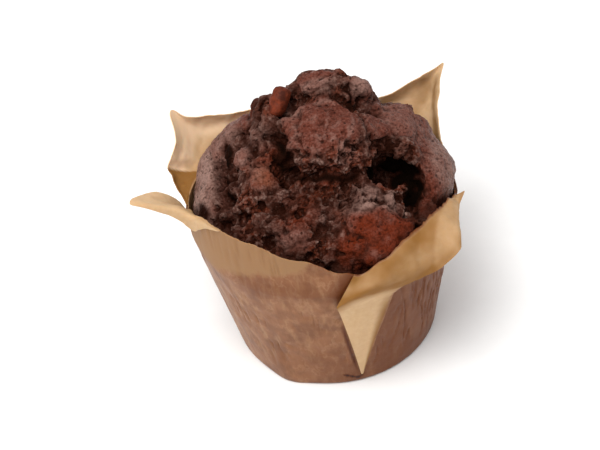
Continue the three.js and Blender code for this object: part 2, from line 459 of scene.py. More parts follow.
@dataclass
class Board:
    """A node tree being wired. Methods that make a node give back its main output."""

    tree: Tree

    def feed(self, socket: Socket, value: Any) -> None:
        """Links a socket, or sets a plain value.

        Args:
            socket: The input.
            value: Another node's output, or a plain value.
        """
        if isinstance(value, Socket):
            self.tree.links.new(value, socket)
        else:
            socket.default_value = value

    def fill(self, node: Node, values: dict[Any, Any]) -> None:
        """Feeds inputs of a node, given by name or by number."""
        for name, value in values.items():
            self.feed(node.inputs[name], value)

    def add(self, kind: str, inputs: dict[Any, Any] | None = None, **settings: Any) -> Node:
        """Adds a node.

        Args:
            kind: Type name of the node.
            inputs: Values or sockets for its inputs, by name or by number.
            **settings: Properties of the node itself.

        Returns:
            The new node.
        """
        node = self.tree.nodes.new(kind)
        for name, value in settings.items():
            setattr(node, name, value)
        self.fill(node, inputs or {})
        return node

    def mark(self, mark: Mark) -> Socket:
        """The value of a vertex mark."""
        return self.add("ShaderNodeAttribute", attribute_name=mark.value).outputs["Fac"]

    def place(self, stretch: Vec = (1.0, 1.0, 1.0)) -> Socket:
        """Object coordinates in millimetres, squeezed along each axis."""
        inputs = {"Vector": self.add("ShaderNodeTexCoord").outputs["Object"], "Scale": Vector(stretch) / MM}
        return self.add("ShaderNodeMapping", inputs, vector_type="POINT").outputs["Vector"]

    def scaled(self, size: Socket) -> Socket:
        """Object coordinates in units of a size in millimetres."""
        inputs = {0: self.place(), "Scale": self.maths("DIVIDE", 1.0, size)}
        return self.add("ShaderNodeVectorMath", inputs, operation="SCALE").outputs[0]

    def maths(self, operation: str, a: Any, b: Any = 0.0) -> Socket:
        """One sum, difference or other operation on two values."""
        return self.add("ShaderNodeMath", {0: a, 1: b}, operation=operation).outputs[0]

    def times(self, a: Any, b: Any) -> Socket:
        """The product of two values."""
        return self.maths("MULTIPLY", a, b)

    def remap(self, value: Any, low: float, high: float, to: Pair = (0.0, 1.0)) -> Socket:
        """Stretches low to high onto another range, clamped."""
        inputs = {"Value": value, "From Min": low, "From Max": high, "To Min": to[0], "To Max": to[1]}
        return self.add("ShaderNodeMapRange", inputs, clamp=True).outputs["Result"]

    def layers(self, base: Any, *coats: tuple[Any, Any]) -> Socket:
        """Lays colours over a base, one after another.

        Args:
            base: The colour to start from.
            *coats: Each colour with the mask that says where it shows.

        Returns:
            The mixed colour.
        """
        for colour, mask in coats:
            inputs = {0: mask, 6: base, 7: colour}
            base = self.add("ShaderNodeMix", inputs, data_type="RGBA", clamp_factor=True).outputs[2]
        return base

    def noise(self, place: Any, size: float, detail: float = 3.0, rough: float = 0.55) -> Socket:
        """Cloud noise of a size in millimetres, about 0.3 to 0.7."""
        inputs = {"Vector": place, "Scale": 1.0 / size, "Detail": detail, "Roughness": rough}
        return self.add("ShaderNodeTexNoise", inputs).outputs["Fac"]

    def spots(self, place: Any, scale: float) -> Socket:
        """Distance from the middles of scattered cells."""
        inputs = {"Vector": place, "Scale": scale}
        return self.add("ShaderNodeTexVoronoi", inputs, feature="F1").outputs["Distance"]

    def bump(self, height: Any, strength: float, distance: float) -> Socket:
        """The normal of a relief whose full height is a distance in millimetres."""
        inputs = {"Height": height, "Strength": strength, "Distance": distance * MM}
        return self.add("ShaderNodeBump", inputs).outputs[0]


def group_of(name: str, inputs: dict[str, float], outputs: Sequence[str]) -> tuple[Board, Node, Node]:
    """Starts a node group.

    Args:
        name: The group's name.
        inputs: Named number inputs with their usual values.
        outputs: Names of the number outputs.

    Returns:
        Its board, its input node and its output node.
    """
    tree = bpy.data.node_groups.new(name, "ShaderNodeTree")
    for label, value in inputs.items():
        socket = tree.interface.new_socket(name=label, in_out="INPUT", socket_type="NodeSocketFloat")
        socket.default_value = value
    for label in outputs:
        tree.interface.new_socket(name=label, in_out="OUTPUT", socket_type="NodeSocketFloat")
    board = Board(tree)
    return board, board.add("NodeGroupInput"), board.add("NodeGroupOutput")


def crumb_grain_group() -> Tree:
    """Builds the relief of fine crumb: grains with pits between them, and open pores.

    Returns:
        The node group.
    """
    board, given, out = group_of("crumb grain", {"Grain": 0.9, "Pores": 0.5}, ["Height", "Pit"])
    sized = board.scaled(given.outputs["Grain"])
    coarse = board.noise(sized, 1.0, 5.0, 0.68)
    raised = board.remap(board.spots(sized, 1.3), 0.1, 0.9, (1.0, 0.0))
    pore = board.spots(board.place(), 1.0 / 2.2)
    pit = board.times(board.remap(pore, 0.1, 0.2, (1.0, 0.0)), given.outputs["Pores"])
    total = board.maths("ADD", board.times(raised, 0.45), coarse)
    board.feed(out.inputs["Height"], board.maths("SUBTRACT", total, pit))
    board.feed(out.inputs["Pit"], pit)
    return board.tree


def mottle_group() -> Tree:
    """Builds cloudy stains, sharpened to cover 0 to 1.

    Returns:
        The node group.
    """
    board, given, out = group_of("mottle", {"Size": 6.0, "Contrast": 1.0}, ["Value"])
    cloud = board.noise(board.scaled(given.outputs["Size"]), 1.0, 6.0, 0.6)
    wide = board.times(board.maths("SUBTRACT", cloud, 0.5), board.times(given.outputs["Contrast"], 3.0))
    clamped = board.add("ShaderNodeClamp", {"Value": board.maths("ADD", wide, 0.5)})
    board.feed(out.inputs["Value"], clamped.outputs[0])
    return board.tree


@dataclass(frozen=True)
class Effects:
    """The node groups that several materials share."""

    grain: Tree
    mottle: Tree

    def use_grain(self, board: Board, grain: float, pores: float) -> tuple[Socket, Socket]:
        """Places the crumb grain in a material and gives its height and its pits."""
        node = board.add("ShaderNodeGroup", {"Grain": grain, "Pores": pores}, node_tree=self.grain)
        return node.outputs["Height"], node.outputs["Pit"]

    def use_mottle(self, board: Board, size: float, contrast: float) -> Socket:
        """Places the mottle in a material."""
        node = board.add("ShaderNodeGroup", {"Size": size, "Contrast": contrast}, node_tree=self.mottle)
        return node.outputs["Value"]


def new_material(name: str) -> tuple[Material, Board, Node]:
    """Starts a node material.

    Args:
        name: The material's name.

    Returns:
        The material, its board and its Principled shader.
    """
    material = bpy.data.materials.new(name)
    material.use_nodes = True
    return material, Board(material.node_tree), material.node_tree.nodes["Principled BSDF"]


# ---- Finishes ----------------------------------------------------------------------------


@dataclass(frozen=True)
class CakeFinish:
    """Dark chocolate crust, from matt mauve skin to red-brown crumb, with painted sheen on its lit parts and
    ridges and painted shade, down to black, in its hollows, pores and clefts.
    """

    skin: Colour = display(103, 57, 46)
    skin_dull: Colour = display(70, 34, 26)
    # Painted sheen on the skin and the crumb.
    skin_sheen: Colour = display(142, 111, 101)
    skin_red: Colour = display(84, 36, 24)
    torn: Colour = display(72, 41, 33)
    crumb: Colour = display(64, 31, 22)
    crumb_red: Colour = display(99, 42, 23)
    red: Colour = display(93, 31, 9)
    # Painted golden highlight, also tan specks of crumb.
    gold: Colour = display(124, 72, 50)
    sheen: Colour = (1.0, 0.66, 0.54, 1.0)
    # Painted sheen: light mauve-grey on ridges and on the tops of grains.
    painted_sheen: Colour = display(132, 104, 94)
    # Painted shade in hollows, pores, clefts and seams, also used for darker patches of crust.
    deep: Colour = display(36, 12, 5)
    # Painted black shade in the deepest clefts and in the cavern.
    black: Colour = display(8, 3, 1)
    roughness: float = 0.44
    specular: float = 0.06

    def material(self, effects: Effects) -> Material:
        """Builds the material.

        Args:
            effects: The shared node groups.

        Returns:
            The finished material.
        """
        material, board, shader = new_material("baked cake")
        ridge, pale, red, dark = (board.mark(one) for one in (Mark.RIDGE, Mark.PALE, Mark.RED, Mark.DARK))
        cloud = effects.use_mottle(board, 5.0, 1.0)
        speckle = effects.use_mottle(board, 1.0, 1.4)
        fleck = effects.use_mottle(board, 0.55, 1.0)
        bloom = effects.use_mottle(board, 2.6, 1.2)
        height, pit = effects.use_grain(board, 0.9, 0.4)
        calm = board.remap(red, 0.0, 1.0, (1.0, 0.25))
        skin = board.layers(
            self.skin,
            (self.skin_dull, board.remap(fleck, 0.7, 0.0, (0.0, 0.6))),
            (self.skin_red, board.remap(bloom, 0.5, 0.1, (0.0, 0.6))),
            # Pale mottles and the painted light mark: painted sheen on the skin.
            (self.skin_sheen, board.remap(bloom, 0.55, 1.0, (0.0, 0.35))),
            (self.skin_sheen, pale),
        )
        loose = board.layers(self.crumb, (self.crumb_red, board.remap(cloud, 0.25, 0.75)))
        # Painted sheen on raised crumb, speckled and patchy.
        sheen_on_ridges = board.times(board.remap(ridge, 0.55, 0.9), speckle)
        sheen_on_ridges = board.times(sheen_on_ridges, board.remap(cloud, 0.2, 0.8, (1.0, 0.35)))
        crumb = board.layers(
            self.torn,
            (loose, board.mark(Mark.LOOSE)),
            (self.painted_sheen, sheen_on_ridges),
            # Painted sheen on the crumb where the painted light mark lies.
            (self.skin_sheen, board.times(pale, 0.6)),
        )
        base = board.layers(
            skin,
            (crumb, board.mark(Mark.BURST)),
            (self.red, board.times(red, 0.85)),
            (self.gold, board.times(board.mark(Mark.GOLD), 0.7)),
            # Painted shade in the fine hollows, down to black.
            (self.deep, board.remap(ridge, 0.5, 0.1, (0.0, 0.7))),
            (self.black, board.remap(ridge, 0.25, 0.0, (0.0, 0.7))),
            # Painted shade in sunk places, in the pores and between the grains.
            (self.deep, board.times(board.mark(Mark.HOLLOW), 0.95)),
            (self.deep, board.times(pit, board.times(calm, 0.8))),
            (self.deep, board.remap(height, 0.72, 0.42, (0.0, 0.7))),
            # Painted sheen on the tops of the grains.
            (self.painted_sheen, board.times(board.remap(height, 0.78, 1.05, (0.0, 0.28)), calm)),
            # The dark mark: mostly painted shade in clefts, seams, the cavern and along the paper, with some
            # darker crust.
            (self.deep, board.remap(dark, 0.0, 0.7)),
            (self.black, board.remap(dark, 0.6, 1.0)),
        )
        gloss = board.remap(speckle, 0.2, 0.9, (self.roughness + 0.12, self.roughness - 0.2))
        board.fill(shader, {
            "Base Color": base,
            "Roughness": board.maths("MAXIMUM", gloss, dark),
            "Specular IOR Level": self.specular,
            "Specular Tint": self.sheen,
            "Normal": board.bump(height, 1.0, 0.5),
        })
        return material


@dataclass(frozen=True)
class ChocolateFinish:
    """A half melted piece of chocolate: smooth, red-brown, a little shiny."""

    face: Colour = display(110, 46, 25)
    # Darker blotches, and painted shade in the chunk's hollows.
    dark_blotch_and_shade: Colour = display(62, 25, 15)
    specular: float = 0.1

    def material(self, effects: Effects) -> Material:
        """Builds the material.

        Args:
            effects: The shared node groups.

        Returns:
            The finished material.
        """
        material, board, shader = new_material("baked chocolate")
        cloud = effects.use_mottle(board, 2.4, 1.2)
        height, _ = effects.use_grain(board, 0.6, 0.15)
        # Painted shade in the hollows.
        sunk = board.remap(board.mark(Mark.RIDGE), 0.5, 0.2)
        board.fill(shader, {
            "Base Color": board.layers(self.face, (self.dark_blotch_and_shade, cloud), (self.dark_blotch_and_shade, sunk)),
            "Roughness": board.remap(cloud, 0.0, 1.0, (0.45, 0.65)),
            "Specular IOR Level": self.specular,
            "Normal": board.bump(height, 0.3, 0.2),
        })
        return material


@dataclass(frozen=True)
class PaperFinish:
    """Unbleached baking paper: clean tan where it stands free, brown with fat where it touches, with painted
    shade and shadow where it is dark, painted light on the back petal and golden parts that are partly
    painted shade.
    """

    clean: Colour = display(196, 164, 127)
    # Painted light: the back petal made paler, as if lit through from behind.
    clean_dull: Colour = display(186, 152, 113)
    pale: Colour = display(220, 192, 158)
    tint: Colour = display(144, 108, 75)
    # Golden paper: painted shade warmed as by light through the paper, and grease near the cake.
    gold: Colour = display(131, 90, 43)
    grease: Colour = display(136, 92, 63)
    grease_dark: Colour = display(100, 63, 41)
    grease_light: Colour = display(160, 122, 88)
    # Painted highlight: fine light lines for the glint of wrinkles.
    wrinkle_highlight: Colour = display(178, 142, 108)
    # Painted shade, also used for a damp stain and a darkening towards the foot.
    shade: Colour = display(93, 45, 15)
    # Painted shadow at its darkest, in the notch at the foot and beside the flap.
    crack: Colour = display(44, 20, 10)
    specular: float = 0.12
    glow: float = 0.35
    glow_reach: Vec = (1.0, 0.62, 0.3)
    glow_depth: float = 0.5

    def material(self, effects: Effects) -> Material:
        """Builds the material.

        Args:
            effects: The shared node groups.

        Returns:
            The finished material.
        """
        material, board, shader = new_material("baking paper")
        grease, dark = board.mark(Mark.GREASE), board.mark(Mark.DARK)
        fine = effects.use_mottle(board, 1.6, 0.8)
        broad = effects.use_mottle(board, 8.0, 1.2)
        streak = board.noise(board.place((1.0, 1.0, 0.22)), 1.8, 4.0)
        # Fine light lines of painted highlight on the greasy wall.
        line = board.noise(board.place((1.0, 1.0, 0.6)), 4.5, 4.0)
        line = board.remap(board.maths("ABSOLUTE", board.maths("SUBTRACT", line, 0.5)), 0.0, 0.04, (1.0, 0.0))
        line = board.times(line, board.remap(broad, 0.1, 0.8, (0.3, 0.0)))
        clean = board.layers(
            self.clean,
            (self.clean_dull, fine),
            # Painted light on the back petal.
            (self.pale, board.mark(Mark.PALE)),
            (self.tint, board.mark(Mark.TINT)),
            # Golden paper, mostly painted shade.
            (self.gold, board.mark(Mark.GOLD)),
        )
        fat = board.layers(
            self.grease,
            (self.grease_dark, board.remap(broad, 0.3, 1.0, (0.0, 0.6))),
            (self.grease_light, board.remap(streak, 0.52, 0.75, (0.0, 0.6))),
            (self.grease_dark, board.remap(streak, 0.45, 0.25, (0.0, 0.4))),
            (self.wrinkle_highlight, line),
        )
        edge = board.maths("ADD", grease, board.times(board.maths("SUBTRACT", fine, 0.5), 0.5))
        base = board.layers(
            clean,
            (fat, board.remap(edge, 0.2, 0.8)),
            # The dark mark: painted shade and shadow, darkest in the notch, with a damp stain and a darkening
            # towards the foot.
            (self.shade, board.remap(dark, 0.0, 0.85)),
            (self.crack, board.remap(dark, 0.85, 1.0)),
        )
        fibre = board.noise(board.place(), 0.5, 4.0, 0.6)
        crease = board.noise(board.place((1.0, 1.0, 0.5)), 3.0, 3.0, 0.5)
        board.fill(shader, {
            "Base Color": base,
            "Roughness": board.remap(grease, 0.0, 1.0, (0.62, 0.42)),
            "Specular IOR Level": self.specular,
            "Subsurface Weight": self.glow,
            "Subsurface Radius": self.glow_reach,
            "Subsurface Scale": self.glow_depth * MM,
            "Normal": board.bump(board.maths("ADD", board.times(fibre, 0.25), crease), 0.35, 0.3),
        })
        return material


@dataclass(frozen=True)
class FloorFinish:
    """Matt white studio paper with a trace of grain."""

    white: Colour = (0.93, 0.93, 0.93, 1.0)
    shade: Colour = (0.88, 0.88, 0.88, 1.0)
    roughness: float = 0.9

    def material(self, effects: Effects) -> Material:
        """Builds the material.

        Args:
            effects: The shared node groups.

        Returns:
            The finished material.
        """
        material, board, shader = new_material("studio paper")
        base = board.layers(self.white, (self.shade, effects.use_mottle(board, 14.0, 0.5)))
        board.fill(shader, {"Base Color": base, "Roughness": self.roughness})
        return material


# ---- The paper's form --------------------------------------------------------------------


@dataclass(frozen=True)
class CaseForm:
    """The tapered wall that the paper and the foot of the cake share."""

    base_radius: float = 29.6
    rim_radius: float = 38.0
    rim_height: float = 44.3
    collar_slope: float = 0.03
    foot_round: float = 1.0
    crest: tuple[Pair, ...] = (
        (-103, 58), (-86, 52), (-80, 50), (-70, 52.5), (-57, 56), (-43, 57), (-30, 54.5), (-16, 49),
        (-8, 45), (0, 44.8), (20, 45.5), (40, 46.5), (90, 47.5), (145, 46.5), (178, 48), (188, 53),
        (201, 60), (213, 63), (235, 62),
    )

    def crest_height(self, azimuth: Array) -> Array:
        """Height of the paper's top or outward crease at azimuths in degrees."""
        return ring_value(self.crest, azimuth)

    def wall_radius(self, height: Array) -> Array:
        """Finds the outer radius of the paper wall.

        Args:
            height: One height or many.

        Returns:
            The radius at each height.
        """
        below = mix(self.base_radius, self.rim_radius, height / self.rim_height)
        above = self.rim_radius + self.collar_slope * (height - self.rim_height)
        return np.where(height > self.rim_height, above, below)


# ---- The cake ----------------------------------------------------------------------------


@dataclass(frozen=True)
class Lump:
    """A rounded swelling: centre, radii, turn about +Z in degrees, and depth of the seam under it."""

    name: str
    at: Vec
    radii: Vec
    turn: float = 0.0
    seam: float = 0.0

    def seam_at(self, points: Array, width: float) -> Array:
        """Finds the lump's lower border.

        Args:
            points: Where to look.
            width: How wide the seam is.

        Returns:
            1 along the border, 0 away from it.
        """
        angle = math.radians(-self.turn)
        away = points - np.array(self.at)
        east = away[:, 0] * math.cos(angle) - away[:, 1] * math.sin(angle)
        north = away[:, 0] * math.sin(angle) + away[:, 1] * math.cos(angle)
        local = np.column_stack([east, north, away[:, 2]]) / np.array(self.radii)
        reach = np.linalg.norm(local, axis=1)
        beyond = (reach - 1.06) * sum(self.radii) / 3.0
        return bell(beyond, width) * smooth_step(local[:, 2] / np.maximum(reach, 0.01), 0.75, 0.1)


@dataclass(frozen=True)
class Cleft:
    """A crack that follows points of the crust."""

    path: tuple[Vec, ...]
    width: float
    depth: float

    def nearness(self, points: Array, heart: Vec) -> Array:
        """Finds the crack, whatever the height above or below its path.

        Args:
            points: Where to look.
            heart: The point that the crust swells away from.

        Returns:
            1 on the crack, falling to 0 beside it.
        """
        outward = points - np.array(heart)
        outward /= np.linalg.norm(outward, axis=1)[:, None]
        return bell(path_distance(points, self.path, outward), self.width)


@dataclass(frozen=True)
class Patch:
    """A soft-edged region of the crust, and how strong it is."""

    at: Vec
    radii: Vec
    strength: float = 1.0

    def weight(self, points: Array) -> Array:
        """1 in the middle, falling to 0 at the radii."""
        reach = np.linalg.norm((points - np.array(self.at)) / np.array(self.radii), axis=1)
        return self.strength * smooth_step(reach, 1.0, 0.45)


def lumps(*rows: tuple[Any, ...]) -> tuple[Lump, ...]:
    """Makes lumps of rows: name, centre, radii, and the turn and seam where there are any."""
    return tuple(Lump(row[0], row[1:4], row[4:7], *row[7:]) for row in rows)


def patches(*rows: tuple[float, ...]) -> tuple[Patch, ...]:
    """Makes patches of rows: centre, radii, and the strength where it isn't 1."""
    return tuple(Patch(row[:3], row[3:6], *row[6:]) for row in rows)


def strongest(points: Array, regions: Sequence[Patch]) -> Array:
    """The strongest patch at each point."""
    return np.max([np.zeros(len(points)), *(patch.weight(points) for patch in regions)], axis=0)


@dataclass
class Cake:
    """The cake: a burst, lumpy dome over a plain foot hidden in the paper."""

    form: CaseForm
    finish: CakeFinish = CakeFinish()
    crust: Lump = Lump("crust", (0, 0, 44), (37, 37, 22.5))
    heart: Vec = (0.0, 0.0, 46.0)
    cut_height: float = 42.0
    foot_heights: Vec = (28.0, 14.0, 0.8)
    foot_gap: float = 0.8
    paper_gap: float = 0.45
    block_voxel: float = 0.7
    fine_voxel: float = 0.43
    seam_width: float = 0.9
    smooth_angle: float = 60.0
    masses: tuple[Lump, ...] = lumps(
        # Crown and ridge
        ("crown", 3, -1.5, 63.5, 17, 15.5, 14.5), ("back ridge", 5, 10.5, 61.5, 16.5, 13.5, 18.4, -10),
        ("crown left", -9.5, 7.5, 61, 9.5, 11.5, 15),
        # Left
        ("left shoulder", -14, -3, 57, 11.5, 14, 13, 20), ("left knob", -18, -13, 58.5, 8, 7.5, 7.5),
        ("left low", -18, -20.5, 52.5, 10, 9, 8.5),
        # Right and front
        ("right back", 19.8, 7.5, 53.4, 14.4, 13.6, 14), ("front middle", 6, -19, 54, 18, 12.5, 10),
        ("front low", -5, -26, 51, 15, 9.5, 9), ("front right", 15, -24.5, 50.5, 14, 10.5, 8.5, 25),
        # Flanks
        ("left arc", -13.2, 8.2, 54.2, 16.2, 14.6, 16), ("left flank", -19.6, 7, 49, 15.4, 20.4, 13.4),
        ("left bridge", -19, 9.6, 54.6, 12, 11.6, 10.4), ("back flank", 0, 20, 50, 24, 15, 13),
        ("right flank", 20.8, -1, 50, 17, 19, 14),
    )
    knobs: tuple[Lump, ...] = lumps(
        # The crown
        ("crown slab", 2.5, -1, 71.2, 9, 7, 7.2, 10), ("crown side", 6.5, -6, 69, 7.6, 9, 8.8, -15),
        ("crown face", 0.5, -7.5, 68.8, 8.2, 7.4, 7.6, 10),
        ("crown facet", -6, -0.5, 71.4, 4.4, 5.4, 4.8, 20, 0.8),
        ("crown foot", 4, -10.8, 67, 8.4, 5.2, 5.4),
        ("crown saddle", 14.5, -0.5, 65.5, 7.5, 8, 6.4, 0),
        # The ridge behind it
        ("ridge strata", 1, 9, 75.2, 7.5, 3.4, 3.6, -8, 0.8),
        ("ridge top", 5.4, 13, 76.2, 8, 3.4, 4, -12), ("ridge middle", 9.6, 11, 76, 5.8, 4, 5, 0),
        ("ridge left", -6.4, 11, 74, 5.2, 4, 5, 10),
        ("crest left", -11.6, 9.8, 73.8, 3.6, 4.4, 4.4, 10),
        ("chunk bed", -8.8, 10.6, 75, 3.6, 4, 4.2),
        ("ridge right", 13, 8.5, 73.4, 5.4, 5, 5.2, 0, 0.3), ("crack crumb", 14.5, 4.5, 71, 3, 3, 3),
        # The left side
        ("left crest", -12.8, 9, 70.5, 3.6, 6.5, 6, 15, 0.8),
        ("grey fold", -14, 2, 68.5, 4.6, 6, 6, 10, 1.0),
        ("groove lump", -19, -3, 63.5, 5.4, 6, 6, 15, 1.2),
        ("fold step", -13, -5, 66.5, 4, 3.4, 4, 0, 0.9),
        ("red knob", -15.3, -10.5, 61.5, 5.4, 5, 5, 0, 1.5),
        ("fissure crumb", -6.4, -11, 64.6, 3, 3, 3),
        ("mid lump", -10.4, -14.5, 61, 4.6, 4.2, 4.2, 0, 1.0),
        ("side knob", -22, -10, 60, 3.6, 4, 3.8, 0, 1.2),
        ("grey lump", -17.5, -18.5, 58.4, 5.4, 5, 5, 0, 1.4),
        ("side lump", -25.5, -13, 55.6, 4.4, 4, 4.4, 0, 1.2),
        ("low lump", -21, -21, 54.5, 4.6, 4, 4.4, 0, 1.2),
        # The front
        ("front lump", -9.5, -24.5, 56.4, 7, 6, 6, 0, 1.2),
        ("middle lump", 0, -24.5, 58, 4.6, 4.2, 4.4, 0, 0.9), ("crack step", -3, -13.5, 61, 4, 4, 4),
        ("middle crumb", 4.5, -15, 60.3, 5, 5, 5), ("grey crumb", 10, -20, 60.4, 6, 5, 5, 0, 0.8),
        ("pit lip", 16.5, -19.5, 58.5, 4.5, 4, 4.5), ("front toe", -4, -32.5, 52, 5, 3.4, 4.4, 0, 0.9),
        ("red front", 6, -29.5, 53.5, 6, 5, 5.2, 0, 0.7),
        ("red right", 14, -26.5, 54, 8, 6, 5.4, 20, 0.4),
        # The right side
        ("pit roof", 21.5, -4.5, 61.5, 8, 5.4, 5.6, -30), ("top right", 21, 3, 62.5, 8, 8, 6),
    )
    pits: tuple[Lump, ...] = lumps(
        ("cavern", 19.8, -12.3, 62.4, 8.4, 4.3, 4.8, -20),
        ("cavern depth", 20.5, -9.5, 57.5, 7, 6, 5.4, -20),
        ("cavern end", 24.4, -11.6, 57, 4.4, 4.6, 5.8, 10),
        ("cavern tail", 24.4, -19, 57, 1.2, 6.5, 4.0, 6),
    )
    clefts: tuple[Cleft, ...] = (
        # The grooves on the left
        Cleft(
            ((-20.9, 8, 68.3), (-23.5, 6.8, 66.5), (-25.6, 5.7, 64), (-27.2, 3.5, 61), (-27.8, -3, 58.7)),
            1.4, 3.8,
        ),
        Cleft(
            ((-19, 2, 70), (-21, 1.5, 68), (-23, -3, 66.5), (-24.6, -3.6, 63), (-25.8, -2.6, 60)),
            1.0, 2.8,
        ),
        Cleft(((-26, -6, 58.5), (-25, -10, 58)), 1.8, 3.6),
        Cleft(((-12.3, 9.5, 77.2), (-14, 6.3, 75.2), (-15.6, 1.8, 74), (-13.2, -1.6, 73.2)), 0.8, 2.0),
        Cleft(((-16, 11.6, 73.8), (-17.7, 8, 70.5), (-18.3, 1.5, 70.5)), 0.8, 1.8),
        # Round the crown
        Cleft(((-10.5, -1, 72), (-9.5, -5.8, 71), (-9, -8.2, 68), (-8, -11, 65)), 2.0, 4.4),
        Cleft(
            ((-8, -11, 65), (-2.7, -15, 67), (1.6, -15.4, 67), (7, -16.4, 65.5), (10.5, -14, 65)),
            1.5, 3.0,
        ),
        Cleft(((10.6, 7, 76.5), (12.2, 5.4, 75), (14.5, 4, 72), (18, 4.5, 69.5)), 1.3, 3.0),
        Cleft(
            ((-9.2, 3.1, 75), (-4.8, 4.6, 76.5), (0.1, 6.2, 78), (8.2, 5, 78), (11.6, 1.5, 76)),
            1.0, 1.6,
        ),
        Cleft(((-3.2, 1, 77), (-3.8, -3.5, 76.5), (-4.6, -8.8, 74)), 1.2, 0.9),
        Cleft(((3, 3, 78), (5.5, -1, 78), (5, -5, 77)), 2.6, 0.9),
        Cleft(((-3, 7.6, 78.5), (2, 8.4, 79), (7, 8, 78.4)), 0.8, 1.2),
        Cleft(((-2, 11, 79.4), (4, 11.2, 80), (8, 10.6, 79)), 0.8, 0.7),
        # The right and the front
        Cleft(((24, -15, 54.5), (25.2, -20, 55), (23.4, -26.6, 55)), 1.2, 3.4),
        Cleft(((5, -29.6, 58.9), (9.8, -31.7, 57)), 0.6, 1.5),
        Cleft(((-3, -33.3, 55.6), (2, -33.3, 55)), 0.8, 1.8),
        Cleft(((-3, -28, 60), (0, -28, 60.4), (2, -29, 60)), 0.8, 2.0),
        Cleft(((-14, -24, 57), (-10.5, -20.5, 60), (-6, -20.5, 61)), 0.9, 2.4),
        Cleft(((-20, -17, 58), (-14.5, -16, 60.5), (-13, -20, 59)), 0.9, 2.2),
    )
    skins: tuple[Patch, ...] = patches(
        (-33, 8, 51, 8.5, 26, 15), (-20, 22, 62, 10, 16, 18, 0.9), (32, 0, 54, 13, 24, 18),
        (30, -17, 53.5, 6.5, 11, 8, 1.2), (24, 4, 66, 11, 12, 10), (16, -2, 70.5, 8, 6, 6),
        (16, -32, 54, 15, 10, 9), (13, -29, 59.5, 11, 8, 7, 0.85), (7, -33, 54, 7, 6, 5, 0.7),
        (0, 34, 54, 40, 14, 18), (2, -4, 76.5, 16, 14, 9, 0.95), (-9, -29, 57, 8, 6, 6, 0.6),
        (15, 9, 76, 6, 6, 6, 0.8), (-16, -11.5, 67, 5.5, 5, 5, 0.75), (-16, 14, 69, 10, 10, 9),
        (-24.5, 12, 64, 8, 12, 11, 1.1), (2, 12, 80, 10, 6, 5, 0.7), (-21, -2, 69, 4, 6, 6, 0.75),
    )
    hollows: tuple[Patch, ...] = patches(
        (20, -11, 61, 11, 8.5, 8), (23.4, -11.5, 57, 6.4, 6.5, 7.5), (19, -8, 65, 9, 6, 6),
        (24, -20, 56, 2.6, 8, 5),
    )
    crumbs: tuple[Patch, ...] = patches(
        (-13, -8, 69, 5, 5, 5), (-2, -14, 68, 7, 4, 4), (8, -13, 71, 7, 6, 6),
        (12, 3, 75, 6, 6, 5, 0.8), (4, -18, 63, 10, 6, 5, 0.7), (-20, -16, 60, 6, 6, 5, 0.6),
        (21, -7, 64, 9, 6, 6), (22, -12, 58, 9, 9, 8), (13, 4.6, 73, 5, 4, 4),
    )
    reds: tuple[Patch, ...] = patches(
        (14, -31, 57, 14, 10, 9), (8, -33, 54, 9, 8, 8, 1.4), (-11, -10, 67, 5, 5, 5, 0.5),
        (-14, -6, 70, 6, 5, 5, 0.6), (2, -16, 67, 6, 4, 4, 0.8), (-8, -22, 61, 8, 8, 5, 0.5),
        (29, -17, 54, 7, 10, 7, 0.4), (25, 4, 65, 13, 12, 11, 0.2),
    )
    # Painted sheen: the lit flanks, grey highlights and small glints of the crust made paler.
    painted_sheen_patches: tuple[Patch, ...] = patches(
        (-34, 8, 54, 9, 26, 16, 1.0), (18, -22, 61, 5, 5, 5, 0.9), (8, -12, 71, 5, 4, 5, 0.45),
        (10, 4, 77, 3, 3, 3, 0.7), (-6, 5, 76, 8, 8, 4, 0.25), (36, -2, 54, 9, 18, 13, 0.62),
        (25, 5, 64, 12, 12, 11, 0.25), (20, -6, 65, 9, 5, 5, 0.4), (-25, 12, 64, 8, 12, 11, 0.45),
        (-18, -4, 66, 8, 9, 7, 0.35), (-15, 4, 72, 5, 7, 6, 0.4), (10, -21, 62, 9, 7, 5, 0.8),
        (-10, -28, 57, 8, 6, 5, 0.2), (14, 9, 77, 7, 5, 5, 0.5),
        (24.6, -6.4, 62.6, 2.4, 2.4, 1.6, 1.6), (2, 9, 79, 9, 4, 4, 0.5),
    )
    # Painted golden highlight on the left knob, and small tan specks of crumb.
    golden_highlights_and_specks: tuple[Patch, ...] = patches(
        (-15.4, -10.5, 66, 5.5, 5, 4, 0.5), (-9, -8.5, 70, 3, 3, 3, 0.5),
        (-10.6, -11, 66.4, 1.3, 1.3, 1.3, 1.0), (-8.6, -12.6, 65.6, 1.2, 1.2, 1.2, 1.0),
    )
    # Darker patches: mostly painted shade in the cavern, fissures and grooves, some darker crust.
    shade_and_dark_crust: tuple[Patch, ...] = patches(
        (24, -12, 54.5, 6.4, 7, 9, 1.5), (21.5, -7.5, 57.4, 9, 7, 6.4, 1.6),
        (18.5, -8, 63, 12, 8, 8, 0.6), (20, -6, 65.5, 9, 4.5, 4.5, 0.45), (25, -7, 62, 4, 4, 4, 0.5),
        (-24.4, 3, 64.4, 3.2, 8, 6, 0.85), (20, -9.5, 58, 8, 7, 7, 1.3),
        (14.5, -9.5, 61, 6, 6, 5, 1.1), (24.4, -20, 55, 2.4, 8, 4.5, 0.9),
        (13.6, 4.8, 73, 4.5, 3, 3.5, 0.6), (-9.2, -7, 67.5, 2.8, 6, 6, 0.85),
        (-25, -8, 59, 4, 4, 4, 0.6), (-34.5, -8, 52, 6, 6, 6, 0.75), (-28, -16, 53, 6, 6, 6, 0.45),
        (-8, -8, 67, 3.5, 5, 5, 0.5), (-14, 8, 74, 4.5, 7, 6, 0.5), (-3, -18, 63, 9, 5, 5, 0.35),
        (6, -20, 61, 9, 6, 6, 0.4),
    )

